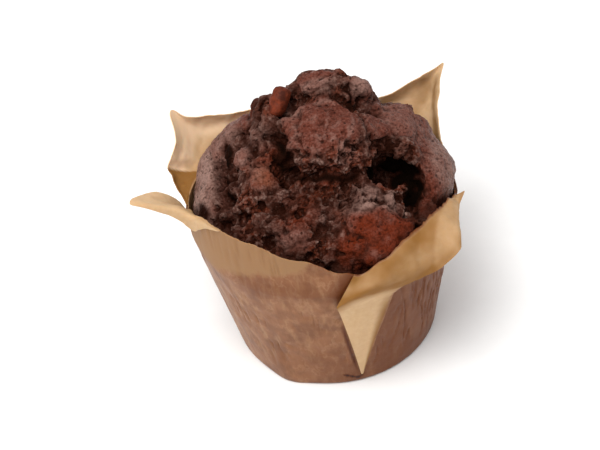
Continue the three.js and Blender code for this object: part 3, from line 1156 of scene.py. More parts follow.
    def swelling(self, lump: Lump, subdivisions: int = 4) -> Object:
        """Adds one lump as a ball pressed to its radii, with the lump's name.

        Args:
            lump: The lump.
            subdivisions: How finely the ball is divided.

        Returns:
            The ball.
        """
        ball = started(
            bpy.ops.mesh.primitive_ico_sphere_add,
            subdivisions=subdivisions,
            radius=MM,
            location=[value * MM for value in lump.at],
            rotation=(0.0, 0.0, math.radians(lump.turn)),
            scale=lump.radii,
        )
        ball.name = lump.name
        return ball

    def fused(self, parts: Sequence[Object], name: str) -> Object:
        """Joins balls into one closed skin.

        Args:
            parts: The balls.
            name: What the skin is called.

        Returns:
            The skin.
        """
        whole = join(parts, name)
        apply_place(whole)
        apply_modifier(whole, "REMESH", mode="VOXEL", voxel_size=self.block_voxel * MM)
        return whole

    def blocked_out(self) -> Object:
        """Joins the crust and its lumps into one skin and hollows out the pits.

        Returns:
            The dome in its rough shape.
        """
        parts = [self.swelling(self.crust, 6)]
        parts += [self.swelling(lump, 5) for lump in self.masses]
        parts += [self.swelling(lump) for lump in self.knobs]
        dome = self.fused(parts, "cake")
        apply_modifier(dome, "SMOOTH", factor=0.5, iterations=4)
        cutter = self.fused([self.swelling(lump) for lump in self.pits], "pit tool")
        apply_modifier(dome, "BOOLEAN", operation="DIFFERENCE", object=cutter, solver="EXACT")
        bpy.data.objects.remove(cutter)
        return dome

    def burst_weight(self, points: Array) -> Array:
        """1 where the crust has burst into crumb, 0 where its skin is whole."""
        skin = strongest(points, self.skins) + 0.32 * fractal(points, 6.0, 4, 11.0)
        return smooth_step(skin * (1.0 - strongest(points, self.hollows)), 0.7, 0.22)

    def crumbly(self, points: Array) -> Array:
        """0 on lumps that stayed smooth, 1 where the crumb is torn and loose."""
        return smooth_step(fractal(points, 8.0, 3, 35.0) + strongest(points, self.crumbs), -0.1, 0.4)

    def seams(
        self, points: Array, lump_share: Callable[[Lump], float], cleft_share: Callable[[Cleft], float]
    ) -> list[Array]:
        """Finds the seams under the knobs and the clefts.

        Args:
            points: Where to look.
            lump_share: How much a knob's seam counts.
            cleft_share: How much a cleft counts.

        Returns:
            For each seam and cleft, how strong it is at each point.
        """
        loose = warped(points, 3.0, 1.0, 8.0)
        under = [lump_share(one) * one.seam_at(loose, self.seam_width) for one in self.knobs if one.seam]
        return under + [cleft_share(one) * one.nearness(loose, self.heart) for one in self.clefts]

    def raise_crust(self, dome: Object, rise: Array, start: float, full: float) -> None:
        """Moves the crust along its normals.

        Args:
            dome: The cake.
            rise: How far each vertex moves, in millimetres.
            start: Height where the move begins to count.
            full: Height from which it counts in full.
        """
        points = points_of(dome)
        move = rise * smooth_step(points[:, 2], start, full)
        place_points(dome, points + normals_of(dome) * move[:, None])

    def tear(self, dome: Object) -> None:
        """Breaks the burst crust into fused lumps and opens the seams and clefts.

        Args:
            dome: The cake.
        """
        points = points_of(dome)
        burst = self.burst_weight(points)
        loose = warped(points, 6.0, 2.2, 3.0)
        near, gap, tone = cells(loose, 7.0, 5.0)
        big = 1.6 * (0.45 - near**2) + 1.5 * (tone - 0.5)
        big -= 1.5 * bell(gap, 0.07) * smooth_step(fractal(points, 7.0, 2, 45.0), -0.3, 0.3)
        near, gap, tone = cells(loose, 3.4, 25.0)
        small = 0.6 * (0.45 - near**2) + 0.8 * (tone - 0.5) - 0.5 * bell(gap, 0.09)
        rough = big + mix(0.35, 1.0, self.crumbly(points)) * small + 0.8 * fractal(points, 3.6, 3, 15.0)
        swell = 0.7 * fractal(points, 9.0, 2, 21.0)
        rise = mix(0.1, 1.0, burst) * rough + swell + 0.3 * (1.0 - burst)
        for drop in self.seams(points, lambda lump: lump.seam, lambda cleft: cleft.depth):
            rise -= drop
        self.raise_crust(dome, rise, 44.0, 48.0)
        apply_modifier(dome, "REMESH", mode="VOXEL", voxel_size=self.fine_voxel * MM)

    def crumble(self, dome: Object) -> None:
        """Adds the crumb, the grain of the skin and its pores.

        Args:
            dome: The cake.
        """
        points = points_of(dome)
        loose = warped(points, 2.5, 0.9, 13.0)
        _, gap, tone = cells(loose, 1.6, 45.0)
        grains = 0.35 * (tone - 0.5) - 0.25 * bell(gap, 0.12)
        torn = np.maximum(self.crumbly(points), strongest(points, self.hollows))
        crumb = mix(0.35, 0.7, torn) * fractal(points, 1.7, 3, 4.0) + torn * grains
        near, _, tone = cells(loose, 2.8, 55.0)
        crumb -= 0.6 * smooth_step(near, 0.26, 0.1) * (tone > 0.55)
        skin = 0.26 * fractal(points, 1.5, 3, 31.0) + 0.45 * fractal(points, 4.5, 2, 37.0)
        near, _, tone = cells(points, 3.6, 41.0)
        skin -= 0.6 * smooth_step(near, 0.2, 0.07) * (tone > 0.6) * (1.0 - strongest(points, self.reds))
        self.raise_crust(dome, mix(skin, crumb, self.burst_weight(points)), 43.5, 46.0)

    def hem_in(self, dome: Object) -> None:
        """Keeps the cake inside the paper where the paper stands round it.

        Args:
            dome: The cake.
        """
        points = points_of(dome)
        reach = np.hypot(points[:, 0], points[:, 1])
        crest = self.form.crest_height(azimuth_of(points))
        room = self.form.wall_radius(points[:, 2]) - self.paper_gap
        room += np.maximum(points[:, 2] - crest, 0.0) * 2.0
        points[:, :2] *= np.minimum(1.0, room / np.maximum(reach, TINY))[:, None]
        place_points(dome, points)

    def foot_radius(self, height: float) -> float:
        """Radius of the foot of the cake at a height."""
        return float(self.form.wall_radius(height)) - self.foot_gap

    def add_foot(self, dome: Object) -> None:
        """Cuts the dome off level and draws its edge down to the flat foot.

        Args:
            dome: The cake.
        """
        top = self.cut_height
        with editing(dome):
            cut = (0.0, 0.0, top * MM)
            bpy.ops.mesh.bisect(plane_co=cut, plane_no=(0.0, 0.0, 1.0), clear_inner=True, use_fill=False)
            bpy.ops.mesh.select_all(action="DESELECT")
            bpy.ops.mesh.select_mode(type="EDGE")
            others = ("extend", "use_wire", "use_multi_face", "use_non_contiguous", "use_verts")
            bpy.ops.mesh.select_non_manifold(**dict.fromkeys(others, False))
            for low in self.foot_heights:
                drop = (0.0, 0.0, (low - top) * MM)
                share = self.foot_radius(low) / self.foot_radius(top)
                bpy.ops.mesh.extrude_region_move(TRANSFORM_OT_translate={"value": drop})
                bpy.ops.transform.resize(value=(share, share, 1.0), center_override=(0.0, 0.0, 0.0))
                top = low
            bpy.ops.mesh.edge_face_add()

    def mark_up(self, dome: Object) -> None:
        """Stores where the crust is whole, raised, sunk and red, where painted sheen makes it pale, and where
        painted shade makes it black.

        Args:
            dome: The cake.
        """
        points = points_of(dome)
        around = Neighbours(dome)
        fine, middle, broad = (around.relief(times) for times in (8, 28, 90))
        patchy = 0.5 + 0.7 * fractal(points, 4.0, 3, 51.0)
        write_mark(dome, Mark.BURST, self.burst_weight(points))
        write_mark(dome, Mark.LOOSE, self.crumbly(points))
        write_mark(dome, Mark.RIDGE, 0.5 + fine / 0.55)
        # Painted shade in sunk places, stronger in broad hollows.
        sunk = np.maximum(-middle / 0.9 - 0.15, 0.0) + np.maximum(-broad / 2.4 - 0.1, 0.0)
        write_mark(dome, Mark.HOLLOW, sunk)
        write_mark(dome, Mark.RED, strongest(points, self.reds) * (0.4 + patchy))
        # Painted sheen, patchy.
        write_mark(dome, Mark.PALE, strongest(points, self.painted_sheen_patches) * (0.5 + patchy))
        # Painted golden highlight and tan specks.
        write_mark(dome, Mark.GOLD, strongest(points, self.golden_highlights_and_specks) * (0.4 + patchy))
        # Darker patches, mostly painted shade, loosened by noise.
        dark = strongest(warped(points, 3.6, 1.8, 23.0), self.shade_and_dark_crust)
        dark *= 1.0 + 0.45 * fractal(points, 2.4, 3, 27.0)
        # Painted contact shadow where the crust meets the top of the paper.
        over_paper = points[:, 2] - self.form.crest_height(azimuth_of(points))
        outer = smooth_step(np.hypot(points[:, 0], points[:, 1]), 30.0, 35.0)
        rim = smooth_step(over_paper, 2.5, -1.5) * outer
        # Painted shade under the knobs and in the clefts.
        crevice_shade = self.seams(
            points,
            lambda lump: 0.6 * min(lump.seam, 1.0),
            lambda cleft: min(max(cleft.depth - 0.8, 0.0) / 2.4, 1.0),
        )
        write_mark(dome, Mark.DARK, np.max([dark, 0.55 * rim, *crevice_shade], axis=0))

    def build(self, effects: Effects) -> Object:
        """Builds the finished cake.

        Args:
            effects: The shared node groups.

        Returns:
            The cake.
        """
        dome = self.blocked_out()
        for step in (self.tear, self.crumble, self.hem_in, self.add_foot, self.mark_up):
            step(dome)
        shade_smooth(dome, self.smooth_angle)
        dress(dome, self.finish.material(effects))
        return dome


@dataclass
class ChocolateChunk:
    """The piece of chocolate that stands half out of the crown."""

    finish: ChocolateFinish = ChocolateFinish()
    at: Vec = (-7.8, 7.2, 77.0)
    radii: Vec = (2.5, 4.3, 2.7)
    turn: float = -42.0
    lean: float = 46.0
    bevel: float = 2.3
    smooth_angle: float = 60.0

    def build(self, effects: Effects) -> Object:
        """Builds the chunk: a block with bevelled edges, melted round and a little dented.

        Args:
            effects: The shared node groups.

        Returns:
            The chunk.
        """
        block = started(
            bpy.ops.mesh.primitive_cube_add,
            size=2.0 * MM,
            location=[value * MM for value in self.at],
            rotation=(math.radians(self.lean), 0.0, math.radians(self.turn)),
            scale=self.radii,
        )
        chunk = join([block], "chocolate_chunk")
        apply_place(chunk)
        with editing(chunk):
            bpy.ops.mesh.bevel(offset=self.bevel * MM, segments=3, profile=0.5, affect="EDGES")
        apply_modifier(chunk, "SUBSURF", levels=3, render_levels=3)
        points = points_of(chunk)
        dent = 0.3 * fractal(points, 3.0, 3, 6.0) + 0.08 * fractal(points, 0.8, 2, 16.0)
        place_points(chunk, points + normals_of(chunk) * dent[:, None])
        write_mark(chunk, Mark.RIDGE, 0.5 + Neighbours(chunk).relief(12) / 0.3)
        shade_smooth(chunk, self.smooth_angle)
        dress(chunk, self.finish.material(effects))
        return chunk


# ---- The paper case ----------------------------------------------------------------------


@dataclass(frozen=True)
class Petal:
    """A corner of the paper that folds out over the crest.

    Its root runs over a range of azimuths. Its free edge is given as azimuth, radius and
    height, and the bow says how far the middle of the sheet stands out of the straight line.
    """

    name: str
    start: float
    stop: float
    bow: Pair
    edge: tuple[Vec, ...]

    def share(self, azimuth: Any) -> Any:
        """How far along the root azimuths lie, from 0 at its start to 1 at its stop."""
        return (azimuth + 360.0 * (azimuth < self.start - 1.0) - self.start) / (self.stop - self.start)

    def rim_point(self, share: float) -> Vector:
        """The point of the free edge at a share of the root."""
        return curve_point([polar(*point) for point in self.edge], share)


@dataclass(frozen=True)
class Fold:
    """A straight crease of the paper between two points, its height and its reach."""

    start: Vec
    end: Vec
    height: float
    reach: float


@dataclass(frozen=True)
class Pleat:
    """A triangle of spare paper pressed on the wall: top corners and tip as azimuth and height."""

    left: Pair
    right: Pair
    tip: Pair
    stand_off: float = 0.5


FLAP_RISE = 2.0
PLEAT_RISE = 4.0
RISE_SLACK = 0.001


@dataclass(frozen=True)
class Parts:
    """Which vertices of the paper belong to which part, from the rise stored at each."""

    rise: Array

    @property
    def wall(self) -> Array:
        """The wall has no rise."""
        return self.rise < RISE_SLACK

    @property
    def petal(self) -> Array:
        """A petal's rise goes from 0 at its root to 1 at its edge."""
        return (self.rise > 0.0) & (self.rise <= 1.0)

    @property
    def flap(self) -> Array:
        """The flap's rise goes from 2 at its fold to 3 at its tip."""
        return (self.rise >= FLAP_RISE) & (self.rise < PLEAT_RISE)

    @property
    def pleat(self) -> Array:
        """A pleat's rise goes from 4 at its top to 5 at its tip."""
        return self.rise >= PLEAT_RISE


@dataclass
class PaperCase:
    """The paper case: foot, tapered wall, collar, four petals and the pleats between them."""

    form: CaseForm
    finish: PaperFinish = PaperFinish()
    around: int = 480
    foot_rows: int = 3
    wall_rows: int = 52
    collar_rows: int = 10
    petal_rows: int = 24
    flap_rows: int = 34
    paper: float = 0.28
    smooth_angle: float = 40.0
    foot_insets: Pair = (6.0, 12.0)
    foot_corner: Vec = (-124.0, 11.0, 1.1)
    # Painted shadow along the notch at the foot of the front.
    notch: tuple[Vec, ...] = ((-0.8, -30.5, 4.3), (3.0, -30.0, 2.0), (4.4, -30.0, 3.4))
    flap_shadow: tuple[Vec, ...] = ((-1.3, -38.9, 41.5), (2.9, -29.6, 5.0))
    root_shadow: tuple[Vec, ...] = ((4.6, -38.4, 50.5), (0.6, -38.9, 43.5))
    damp: tuple[Vec, ...] = ((-24.0, -28.0, 45.0), (-16.0, -34.0, 46.0), (-8.0, -37.0, 46.5))
    bow_length: float = 8.0
    straight_end: float = 0.15
    petals: tuple[Petal, ...] = (
        Petal(
            "back right", 12, 68, (1.2, -1.5),
            (
                (14.5, 38.5, 46.5), (18.6, 38.8, 50), (22, 39.4, 52.6), (28.8, 42.4, 56), (34, 47.8, 60.4),
                (37.2, 51.8, 63), (42, 47, 59.8), (53.6, 39.6, 54), (66, 38.6, 48.5),
            ),
        ),
        Petal(
            "back left", 98, 176, (1.6, -1.2),
            (
                (98, 38.8, 49), (119, 40.4, 53.4), (132, 42.4, 56), (139, 46.5, 58.4), (142, 49.9, 61.2),
                (152, 44.4, 57), (159, 44.9, 52), (167, 41.4, 49.8), (176, 38.3, 48.2),
            ),
        ),
        Petal(
            "left", 180, 222, (0.4, 1.6),
            (
                (182, 38.8, 51.4), (184, 41.6, 57), (187, 45.4, 62), (191, 49.6, 65), (199.3, 54.3, 69.8),
                (201.5, 48.5, 66), (202.5, 42.8, 60.5), (204.5, 39.6, 55.6),
                (209, 39.2, 58.2), (215, 38.9, 60.8), (222, 38.65, 62.6),
            ),
        ),
        Petal(
            "front right", -83, -17, (2.2, 0.4),
            (
                (-91.7, 39.4, 41), (-83, 40.6, 44.6), (-74, 40.9, 44.8), (-64, 40.6, 43), (-57, 42.2, 43.6),
                (-51.6, 45.2, 46), (-45.3, 48.4, 51), (-37, 42.6, 51), (-28, 40.8, 51), (-18, 41.3, 52),
            ),
        ),
    )
    stain_edge: tuple[Pair, ...] = (
        (-180, 44.5), (-150, 45), (-135, 47), (-117, 51.4), (-104, 53), (-98, 58), (-90, 66), (-12, 66),
        (20, 45), (90, 43.5), (150, 44.5),
    )
    # Creases along which painted shade turns the paper golden.
    crease_shades: tuple[Fold, ...] = (
        Fold((39.2, 28.0, 58.0), (36.1, 15.8, 47.3), 0.8, 3.4),
        Fold((35.6, 31.6, 56.5), (31.4, 28.5, 50.1), 0.55, 4.0),
        Fold((-35.9, 19.9, 47.4), (-32.6, 28.7, 50.2), 0.4, 3.0),
    )
    near_crease: tuple[Pair, ...] = ((32.7, -19.5), (27.2, -33.9))
    flap_petal: str = "front right"
    flap_share: float = 0.34
    flap_tip: Pair = (-82.4, 4.3)
    flap_stand_off: Pair = (1.4, 0.5)
    flap_tip_width: float = 1.2
    pleats: tuple[Pleat, ...] = (
        Pleat((-6, 44.6), (9, 44.4), (-1, 6)),
        Pleat((79, 47.1), (95, 47.2), (86, 5)),
        Pleat((170, 47.3), (184, 49.4), (178, 6)),
    )
    folds: tuple[Fold, ...] = (
        Fold((32.7, -22.0, 55.5), (28.0, -32.5, 52.5), -0.9, 5.0),
        Fold((17.5, -37.1, 50.7), (26.4, -34.7, 50.0), 0.6, 4.0),
        Fold((-41.2, 16.0, 51.8), (-35.9, 19.9, 47.4), 1.0, 2.5),
        Fold((35.0, 30.7, 54.5), (31.4, 28.5, 50.1), 0.6, 4.0),
        Fold((39.6, 29.9, 59.8), (36.1, 15.8, 47.3), -0.5, 4.0),
        Fold((-46.2, -11.4, 66.1), (-38.7, -13.4, 62.3), -0.5, 3.0),
    )

    def select_where(self, sheet: Object, test: Callable[[float, float, float], bool]) -> None:
        """Selects open edges.

        Args:
            sheet: The paper, in edit mode.
            test: Says of a vertex's root azimuth, rise and height in metres whether it belongs.
        """
        shape = bmesh.from_edit_mesh(sheet.data)
        root, rise = (shape.verts.layers.float[name] for name in ("root", "rise"))
        shape.select_mode = {"EDGE"}
        for part in (*shape.faces, *shape.edges, *shape.verts):
            part.select = False
        for edge in shape.edges:
            if edge.is_boundary and all(test(one[root], one[rise], one.co.z) for one in edge.verts):
                edge.select = True
        shape.select_flush_mode()
        bmesh.update_edit_mesh(sheet.data)

    def draw_row(self, sheet: Object, rise: float, place: Callable[[float], Vector]) -> None:
        """Draws a new row of vertices out of the selected edges.

        Args:
            sheet: The paper, in edit mode.
            rise: The rise stored at the new row.
            place: Gives the place in millimetres of the vertex at a root azimuth.
        """
        bpy.ops.mesh.extrude_region_move(TRANSFORM_OT_translate={"value": (0.0, 0.0, MM)})
        shape = bmesh.from_edit_mesh(sheet.data)
        root, level = (shape.verts.layers.float[name] for name in ("root", "rise"))
        for vertex in (one for one in shape.verts if one.select):
            vertex.co = place(vertex[root]) * MM
            vertex[level] = rise
        bmesh.update_edit_mesh(sheet.data)

    def wall(self) -> Object:
        """Draws the sheet up from the foot to the crest, ring by ring.

        Returns:
            The wall, open at the foot and at the crest.
        """
        foot, rim = self.form.foot_round, self.form.rim_height
        radius = (self.form.base_radius - foot) * MM
        add_circle = bpy.ops.mesh.primitive_circle_add
        circle = started(add_circle, vertices=self.around, radius=radius, fill_type="NOTHING")
        sheet = join([circle], "paper_case")
        azimuth = azimuth_of(points_of(sheet))
        store(sheet, "root", azimuth)
        store(sheet, "rise", azimuth * 0.0)
        turns = (math.radians(90.0 * step / self.foot_rows) for step in range(1, self.foot_rows + 1))
        rings = [(foot * (1.0 - math.cos(turn)), 0.0) for turn in turns]
        rings += [(mix(foot, rim, step / self.wall_rows), 0.0) for step in range(1, self.wall_rows + 1)]
        rings += [(rim, step / self.collar_rows) for step in range(1, self.collar_rows + 1)]
        with editing(sheet):
            for height, share in rings:
                self.draw_row(sheet, 0.0, lambda root: self.wall_point(root, height, share))
        return sheet

    def wall_point(self, azimuth: float, height: float, share: float) -> Vector:
        """Finds a point of the wall.

        Args:
            azimuth: The point's azimuth in degrees.
            height: Its height, up to the rim.
            share: How far it lies from there to the crest.

        Returns:
            The point.
        """
        level = float(mix(height, self.form.crest_height(azimuth), share)) if share else height
        radius = float(self.form.wall_radius(level))
        lift = max(0.0, 1.0 - height / self.form.foot_round)
        inset = self.form.foot_round * (1.0 - math.sqrt(max(0.0, 1.0 - lift * lift)))
        return polar(azimuth, radius - inset, level)

    def grow_petal(self, sheet: Object, petal: Petal) -> None:
        """Draws a petal, and its flap if it has one, out of its stretch of the crest.

        Args:
            sheet: The paper.
            petal: The petal.
        """
        with editing(sheet):
            bpy.ops.mesh.select_mode(type="EDGE")
            crest = self.form.rim_height * 0.7 * MM

            def on_crest(root: float, rise: float, height: float) -> bool:
                """Whether a vertex of the wall's top edge is in the petal's root."""
                return rise < RISE_SLACK and height > crest and 0.0 <= petal.share(root) <= 1.0

            def on_edge(root: float, rise: float, height: float) -> bool:
                """Whether a vertex of the petal's free edge is in the flap's width."""
                return abs(rise - 1.0) < RISE_SLACK and 0.0 <= petal.share(root) <= self.flap_share

            self.select_where(sheet, on_crest)
            for row in range(1, self.petal_rows + 1):
                t = row / self.petal_rows
                self.draw_row(sheet, t, lambda root: self.petal_point(petal, root, t))
            if petal.name != self.flap_petal:
                return
            self.select_where(sheet, on_edge)
            for row in range(1, self.flap_rows + 1):
                t = row / self.flap_rows
                self.draw_row(sheet, FLAP_RISE + t, lambda root: self.flap_point(petal, root, t))

    def petal_point(self, petal: Petal, azimuth: float, t: float) -> Vector:
        """Finds a point of a petal.

        Args:
            petal: The petal.
            azimuth: The azimuth of its root.
            t: How far it lies from the root to the free edge.

        Returns:
            The point.
        """
        crest = float(self.form.crest_height(azimuth))
        start = polar(azimuth, float(self.form.wall_radius(crest)), crest)
        across = min(max(petal.share(azimuth), 0.0), 1.0)
        end = petal.rim_point(across)
        inner = min(1.0, min(across, 1.0 - across) / self.straight_end)
        bow = polar(azimuth, *petal.bow) * inner * min(1.0, (end - start).length / self.bow_length)
        return start.lerp(end, t) + bow * math.sin(math.pi * t)

    def flap_point(self, petal: Petal, azimuth: float, t: float) -> Vector:
        """Finds a point of the flap that hangs along the wall.

        Args:
            petal: The petal that folds down into it.
            azimuth: The azimuth of its root.
            t: How far it lies from the fold down to the tip.

        Returns:
            The point.
        """
        across = petal.share(azimuth) / self.flap_share
        top = petal.rim_point(petal.share(azimuth))
        reach = math.hypot(top.x, top.y) - float(self.form.wall_radius(top.z))
        tip = self.flap_tip[0] + self.flap_tip_width * (across - 0.5)
        height = mix(top.z, self.flap_tip[1], t)
        rest = mix(*self.flap_stand_off, across) * (1.0 - 0.6 * t)
        radius = float(self.form.wall_radius(height)) + mix(reach, rest, min(1.0, t / 0.12))
        return polar(mix(math.degrees(math.atan2(top.y, top.x)), tip, t), radius, height)

    def pleat_sheet(self, pleat: Pleat) -> Object:
        """Lays one pleat on the wall as a tapering strip.

        Args:
            pleat: The pleat.

        Returns:
            The strip.
        """
        add_grid = bpy.ops.mesh.primitive_grid_add
        strip = started(add_grid, x_subdivisions=12, y_subdivisions=48, size=2.0 * MM)
        points = points_of(strip)
        across = (points[:, 0] + 1.0) / 2.0
        down = (1.0 - points[:, 1]) / 2.0
        top = mix(pleat.left[0], pleat.right[0], across)
        azimuth = mix(top, pleat.tip[0] + self.flap_tip_width * (across - 0.5), down)
        height = mix(mix(pleat.left[1], pleat.right[1], across), pleat.tip[1], down)
        radius = self.form.wall_radius(height) + pleat.stand_off * (1.0 - 0.4 * across)
        angle = np.radians(azimuth)
        place_points(strip, np.column_stack([radius * np.cos(angle), radius * np.sin(angle), height]))
        store(strip, "root", azimuth)
        store(strip, "rise", PLEAT_RISE + down)
        face_outwards(strip)
        return strip

    def close_foot(self, sheet: Object) -> None:
        """Fills the flat foot of the case.

        Args:
            sheet: The paper.
        """
        with editing(sheet):
            bpy.ops.mesh.select_mode(type="EDGE")
            self.select_where(sheet, lambda root, rise, height: height < TINY)
            bpy.ops.mesh.edge_face_add()
            for inset in self.foot_insets:
                bpy.ops.mesh.inset(thickness=inset * MM)

    def crumple(self, sheet: Object) -> None:
        """Creases the petals and gives the whole sheet its small waves.

        Args:
            sheet: The paper.
        """
        points = points_of(sheet)
        height = points[:, 2]
        rise = stored(sheet, "rise")
        parts = Parts(rise)
        petal = smooth_step(rise, 0.0, 0.25) * parts.petal * self.width_share(stored(sheet, "root"))
        shift = np.zeros(len(points))
        for fold in self.folds:
            away = path_distance(points, (fold.start, fold.end))
            shift += fold.height * np.maximum(0.0, 1.0 - away / fold.reach) * petal
        wave = fractal(points, 9.0, 3, 61.0)
        crisp = np.abs(fractal(points, 13.0, 2, 71.0)) + 0.4 * np.abs(fractal(points, 5.0, 2, 75.0))
        shift += petal * (0.35 * wave + 0.8 * (crisp - 0.25))
        shift += parts.flap * 0.12 * wave
        wall = parts.wall & (height > 2.0)
        stretched = points * np.array((1.0, 1.0, 0.25))
        shift += wall * 0.16 * fractal(stretched, 5.0, 3, 81.0) * smooth_step(height, 1.5, 8.0)
        shift += wall * 0.1 * fractal(points, 4.0, 3, 91.0)
        shift -= wall * 0.45 * self.wrinkles(points)
        at, width, stand_off = self.foot_corner
        corner = bell(azimuth_of(points) - at, width) * smooth_step(height, 16.0, 1.0)
        shift += parts.wall * (height > 0.2) * stand_off * corner
        moved = points + normals_of(sheet) * shift[:, None]
        moved[:, 2] = np.maximum(moved[:, 2], 0.0)
        place_points(sheet, moved)

    def wrinkles(self, points: Array) -> Array:
        """Finds the upright wrinkles of the wall.

        Args:
            points: Where to look.

        Returns:
            1 in a wrinkle, 0 between them.
        """
        line = np.abs(fractal(points * np.array((1.0, 1.0, 0.1)), 2.6, 2, 95.0))
        azimuth = azimuth_of(points)
        right = smooth_step(azimuth, -72.0, -55.0) * smooth_step(azimuth, 25.0, 5.0)
        where = np.maximum(0.7 * smooth_step(fractal(points, 12.0, 2, 97.0), -0.1, 0.3), right)
        return smooth_step(line, 0.22, 0.0) * where * smooth_step(points[:, 2], 2.0, 14.0)

    def width_share(self, root: Array) -> Array:
        """Finds the ends of the petals.

        Args:
            root: The root azimuth of each vertex.

        Returns:
            0 at the two ends of each petal, 1 from an eighth of its width on.
        """
        inner = np.ones(len(root))
        for petal in self.petals:
            share = petal.share(root)
            ends = smooth_step(np.minimum(share, 1.0 - share), 0.0, 0.12)
            inner = np.where((share >= 0.0) & (share <= 1.0), ends, inner)
        return inner

    def mark_up(self, sheet: Object) -> None:
        """Stores where the paper is greasy, where painted light makes it pale, where it is golden, partly
        from painted shade, and where painted shade and a damp stain make it dark.

        Args:
            sheet: The paper.
        """
        points = points_of(sheet)
        rise, root = stored(sheet, "rise"), stored(sheet, "root")
        parts = Parts(rise)
        back = parts.petal & (root > 90.0)
        write_mark(sheet, Mark.GREASE, self.grease(points, parts, root))
        write_mark(sheet, Mark.TINT, parts.wall * smooth_step(points[:, 2], 40.0, 44.0))
        # Painted light on the back petal, away from its root.
        write_mark(sheet, Mark.PALE, back * smooth_step(rise, 0.1, 0.5))
        write_mark(sheet, Mark.GOLD, self.gold(points, parts, root))
        write_mark(sheet, Mark.DARK, self.shade(points, parts))

    def flap_across(self, root: Array) -> Array:
        """How far across the flap root azimuths lie, from its free side to the petal's side."""
        petal = next(one for one in self.petals if one.name == self.flap_petal)
        return np.clip(petal.share(root) / self.flap_share, 0.0, 1.0)

    def grease(self, points: Array, parts: Parts, root: Array) -> Array:
        """Finds where fat has soaked the paper.

        Args:
            points: The places of the vertices.
            parts: What they belong to.
            root: Their root azimuths.

        Returns:
            0 on clean paper, 1 on soaked paper.
        """
        stain = ring_value(self.stain_edge, azimuth_of(points)) + 1.6 * fractal(points, 7.0, 4, 101.0)
        grease = parts.wall * smooth_step(points[:, 2] - stain, 1.5, -1.5)
        grease = np.maximum(grease, parts.pleat * 0.9)
        return np.where(parts.flap, 0.8 * smooth_step(self.flap_across(root), 0.86, 1.0), grease)

    def gold(self, points: Array, parts: Parts, root: Array) -> Array:
        """Finds where the paper turns golden: painted shade, warmed as by light through the paper, near the
        cake, on the back petal's lower corner and along creases; grease near the cake and on the flap's side
        by the wall.

        Args:
            points: The places of the vertices.
            parts: What they belong to.
            root: Their root azimuths.

        Returns:
            0 on plain paper, 1 on golden paper.
        """
        rise, petal = parts.rise, parts.petal
        # Painted shade near each petal's root by the cake, partly grease.
        gold = petal * smooth_step(rise, 0.5, 0.0) * 0.45
        # Painted shade on the lower corner of the back petal, below its crease.
        corner_shade = (petal & (root > 90.0)) * (root < 178.0) * smooth_step(root - 5.5 * rise, 150.4, 151.6)
        gold = np.maximum(gold, corner_shade)
        # Painted shade along the creases.
        for line in self.crease_shades:
            away = path_distance(points, (line.start, line.end)) + 1.2 * fractal(points, 4.0, 3, 109.0)
            gold = np.maximum(gold, petal * line.height * smooth_step(away, line.reach, 0.5))
        # On the front petal: the dome's painted shadow, partly grease, less golden past the crease.
        (x0, y0), (x1, y1) = self.near_crease
        beyond = (points[:, 1] - y0) * (x1 - x0) - (points[:, 0] - x0) * (y1 - y0)
        dome_shade_and_grease = mix(0.9, 0.62, smooth_step(beyond / math.hypot(x1 - x0, y1 - y0), -0.6, 0.8))
        dome_shade_and_grease += 0.25 * fractal(points, 7.0, 3, 107.0)
        dome_shade_and_grease -= 0.25 * smooth_step(np.abs(rise - 0.45), 0.4, 0.0)
        dome_shade_and_grease += 0.3 * smooth_step(rise, 0.7, 0.95) * smooth_step(root, -40.0, -55.0)
        gold = np.where(petal & (root < -10.0) & (root > -90.0), dome_shade_and_grease, gold)
        # On the flap: golden grease along its side by the wall, and painted shade under its fold.
        below_fold = rise - FLAP_RISE
        flap_gold = smooth_step(self.flap_across(root), 0.7, 0.95) * smooth_step(below_fold, 0.0, 0.3)
        flap_gold += 0.7 * smooth_step(below_fold, 0.13, 0.0)
        return np.where(parts.flap, np.minimum(flap_gold, 1.0), gold)

    def shade(self, points: Array, parts: Parts) -> Array:
        """Finds where painted shade and shadow darken the paper, where a damp stain lies, and where the wall
        gets darker towards the foot.

        Args:
            points: The places of the vertices.
            parts: What they belong to.

        Returns:
            0 on plain paper, 1 in the painted shadow of the notch at the foot.
        """
        height, azimuth = points[:, 2], azimuth_of(points)
        # Painted shade on the side of the wall that faces away from the lamp.
        right = smooth_step(azimuth, -84.0, -72.0) * smooth_step(azimuth, 30.0, -20.0)
        # Darker towards the foot of the wall.
        low = smooth_step(height, 30.0, 8.0) * smooth_step(azimuth, -130.0, -95.0)
        damp = path_distance(points, self.damp) + 1.5 * fractal(points, 6.0, 3, 105.0)
        shades = (
            # Painted shade on that side and in the wrinkles.
            (parts.wall | parts.pleat) * 0.6 * right + parts.wall * 0.18 * self.wrinkles(points),
            parts.wall * 0.9 * smooth_step(path_distance(points, self.flap_shadow), 0.95, 0.3),
            parts.wall * 0.36 * low,
            parts.wall * 0.75 * smooth_step(path_distance(points, self.root_shadow), 6.5, 0.5),
            parts.wall * 0.4 * smooth_step(damp, 6.0, 1.0),
            # Painted shadow in the notch at the foot.
            smooth_step(path_distance(points, self.notch), 1.1, 0.4),
        )
        return np.max(shades, axis=0)

    def build(self, effects: Effects) -> Object:
        """Builds the finished case.

        Args:
            effects: The shared node groups.

        Returns:
            The case.
        """
        sheet = self.wall()
        for petal in self.petals:
            self.grow_petal(sheet, petal)
        self.close_foot(sheet)
        face_outwards(sheet)
        sheet = join([sheet] + [self.pleat_sheet(pleat) for pleat in self.pleats], "paper_case")
        self.crumple(sheet)
        self.mark_up(sheet)
        apply_modifier(sheet, "SOLIDIFY", thickness=self.paper * MM, offset=-1.0)
        shade_smooth(sheet, self.smooth_angle)
        dress(sheet, self.finish.material(effects))
        return sheet


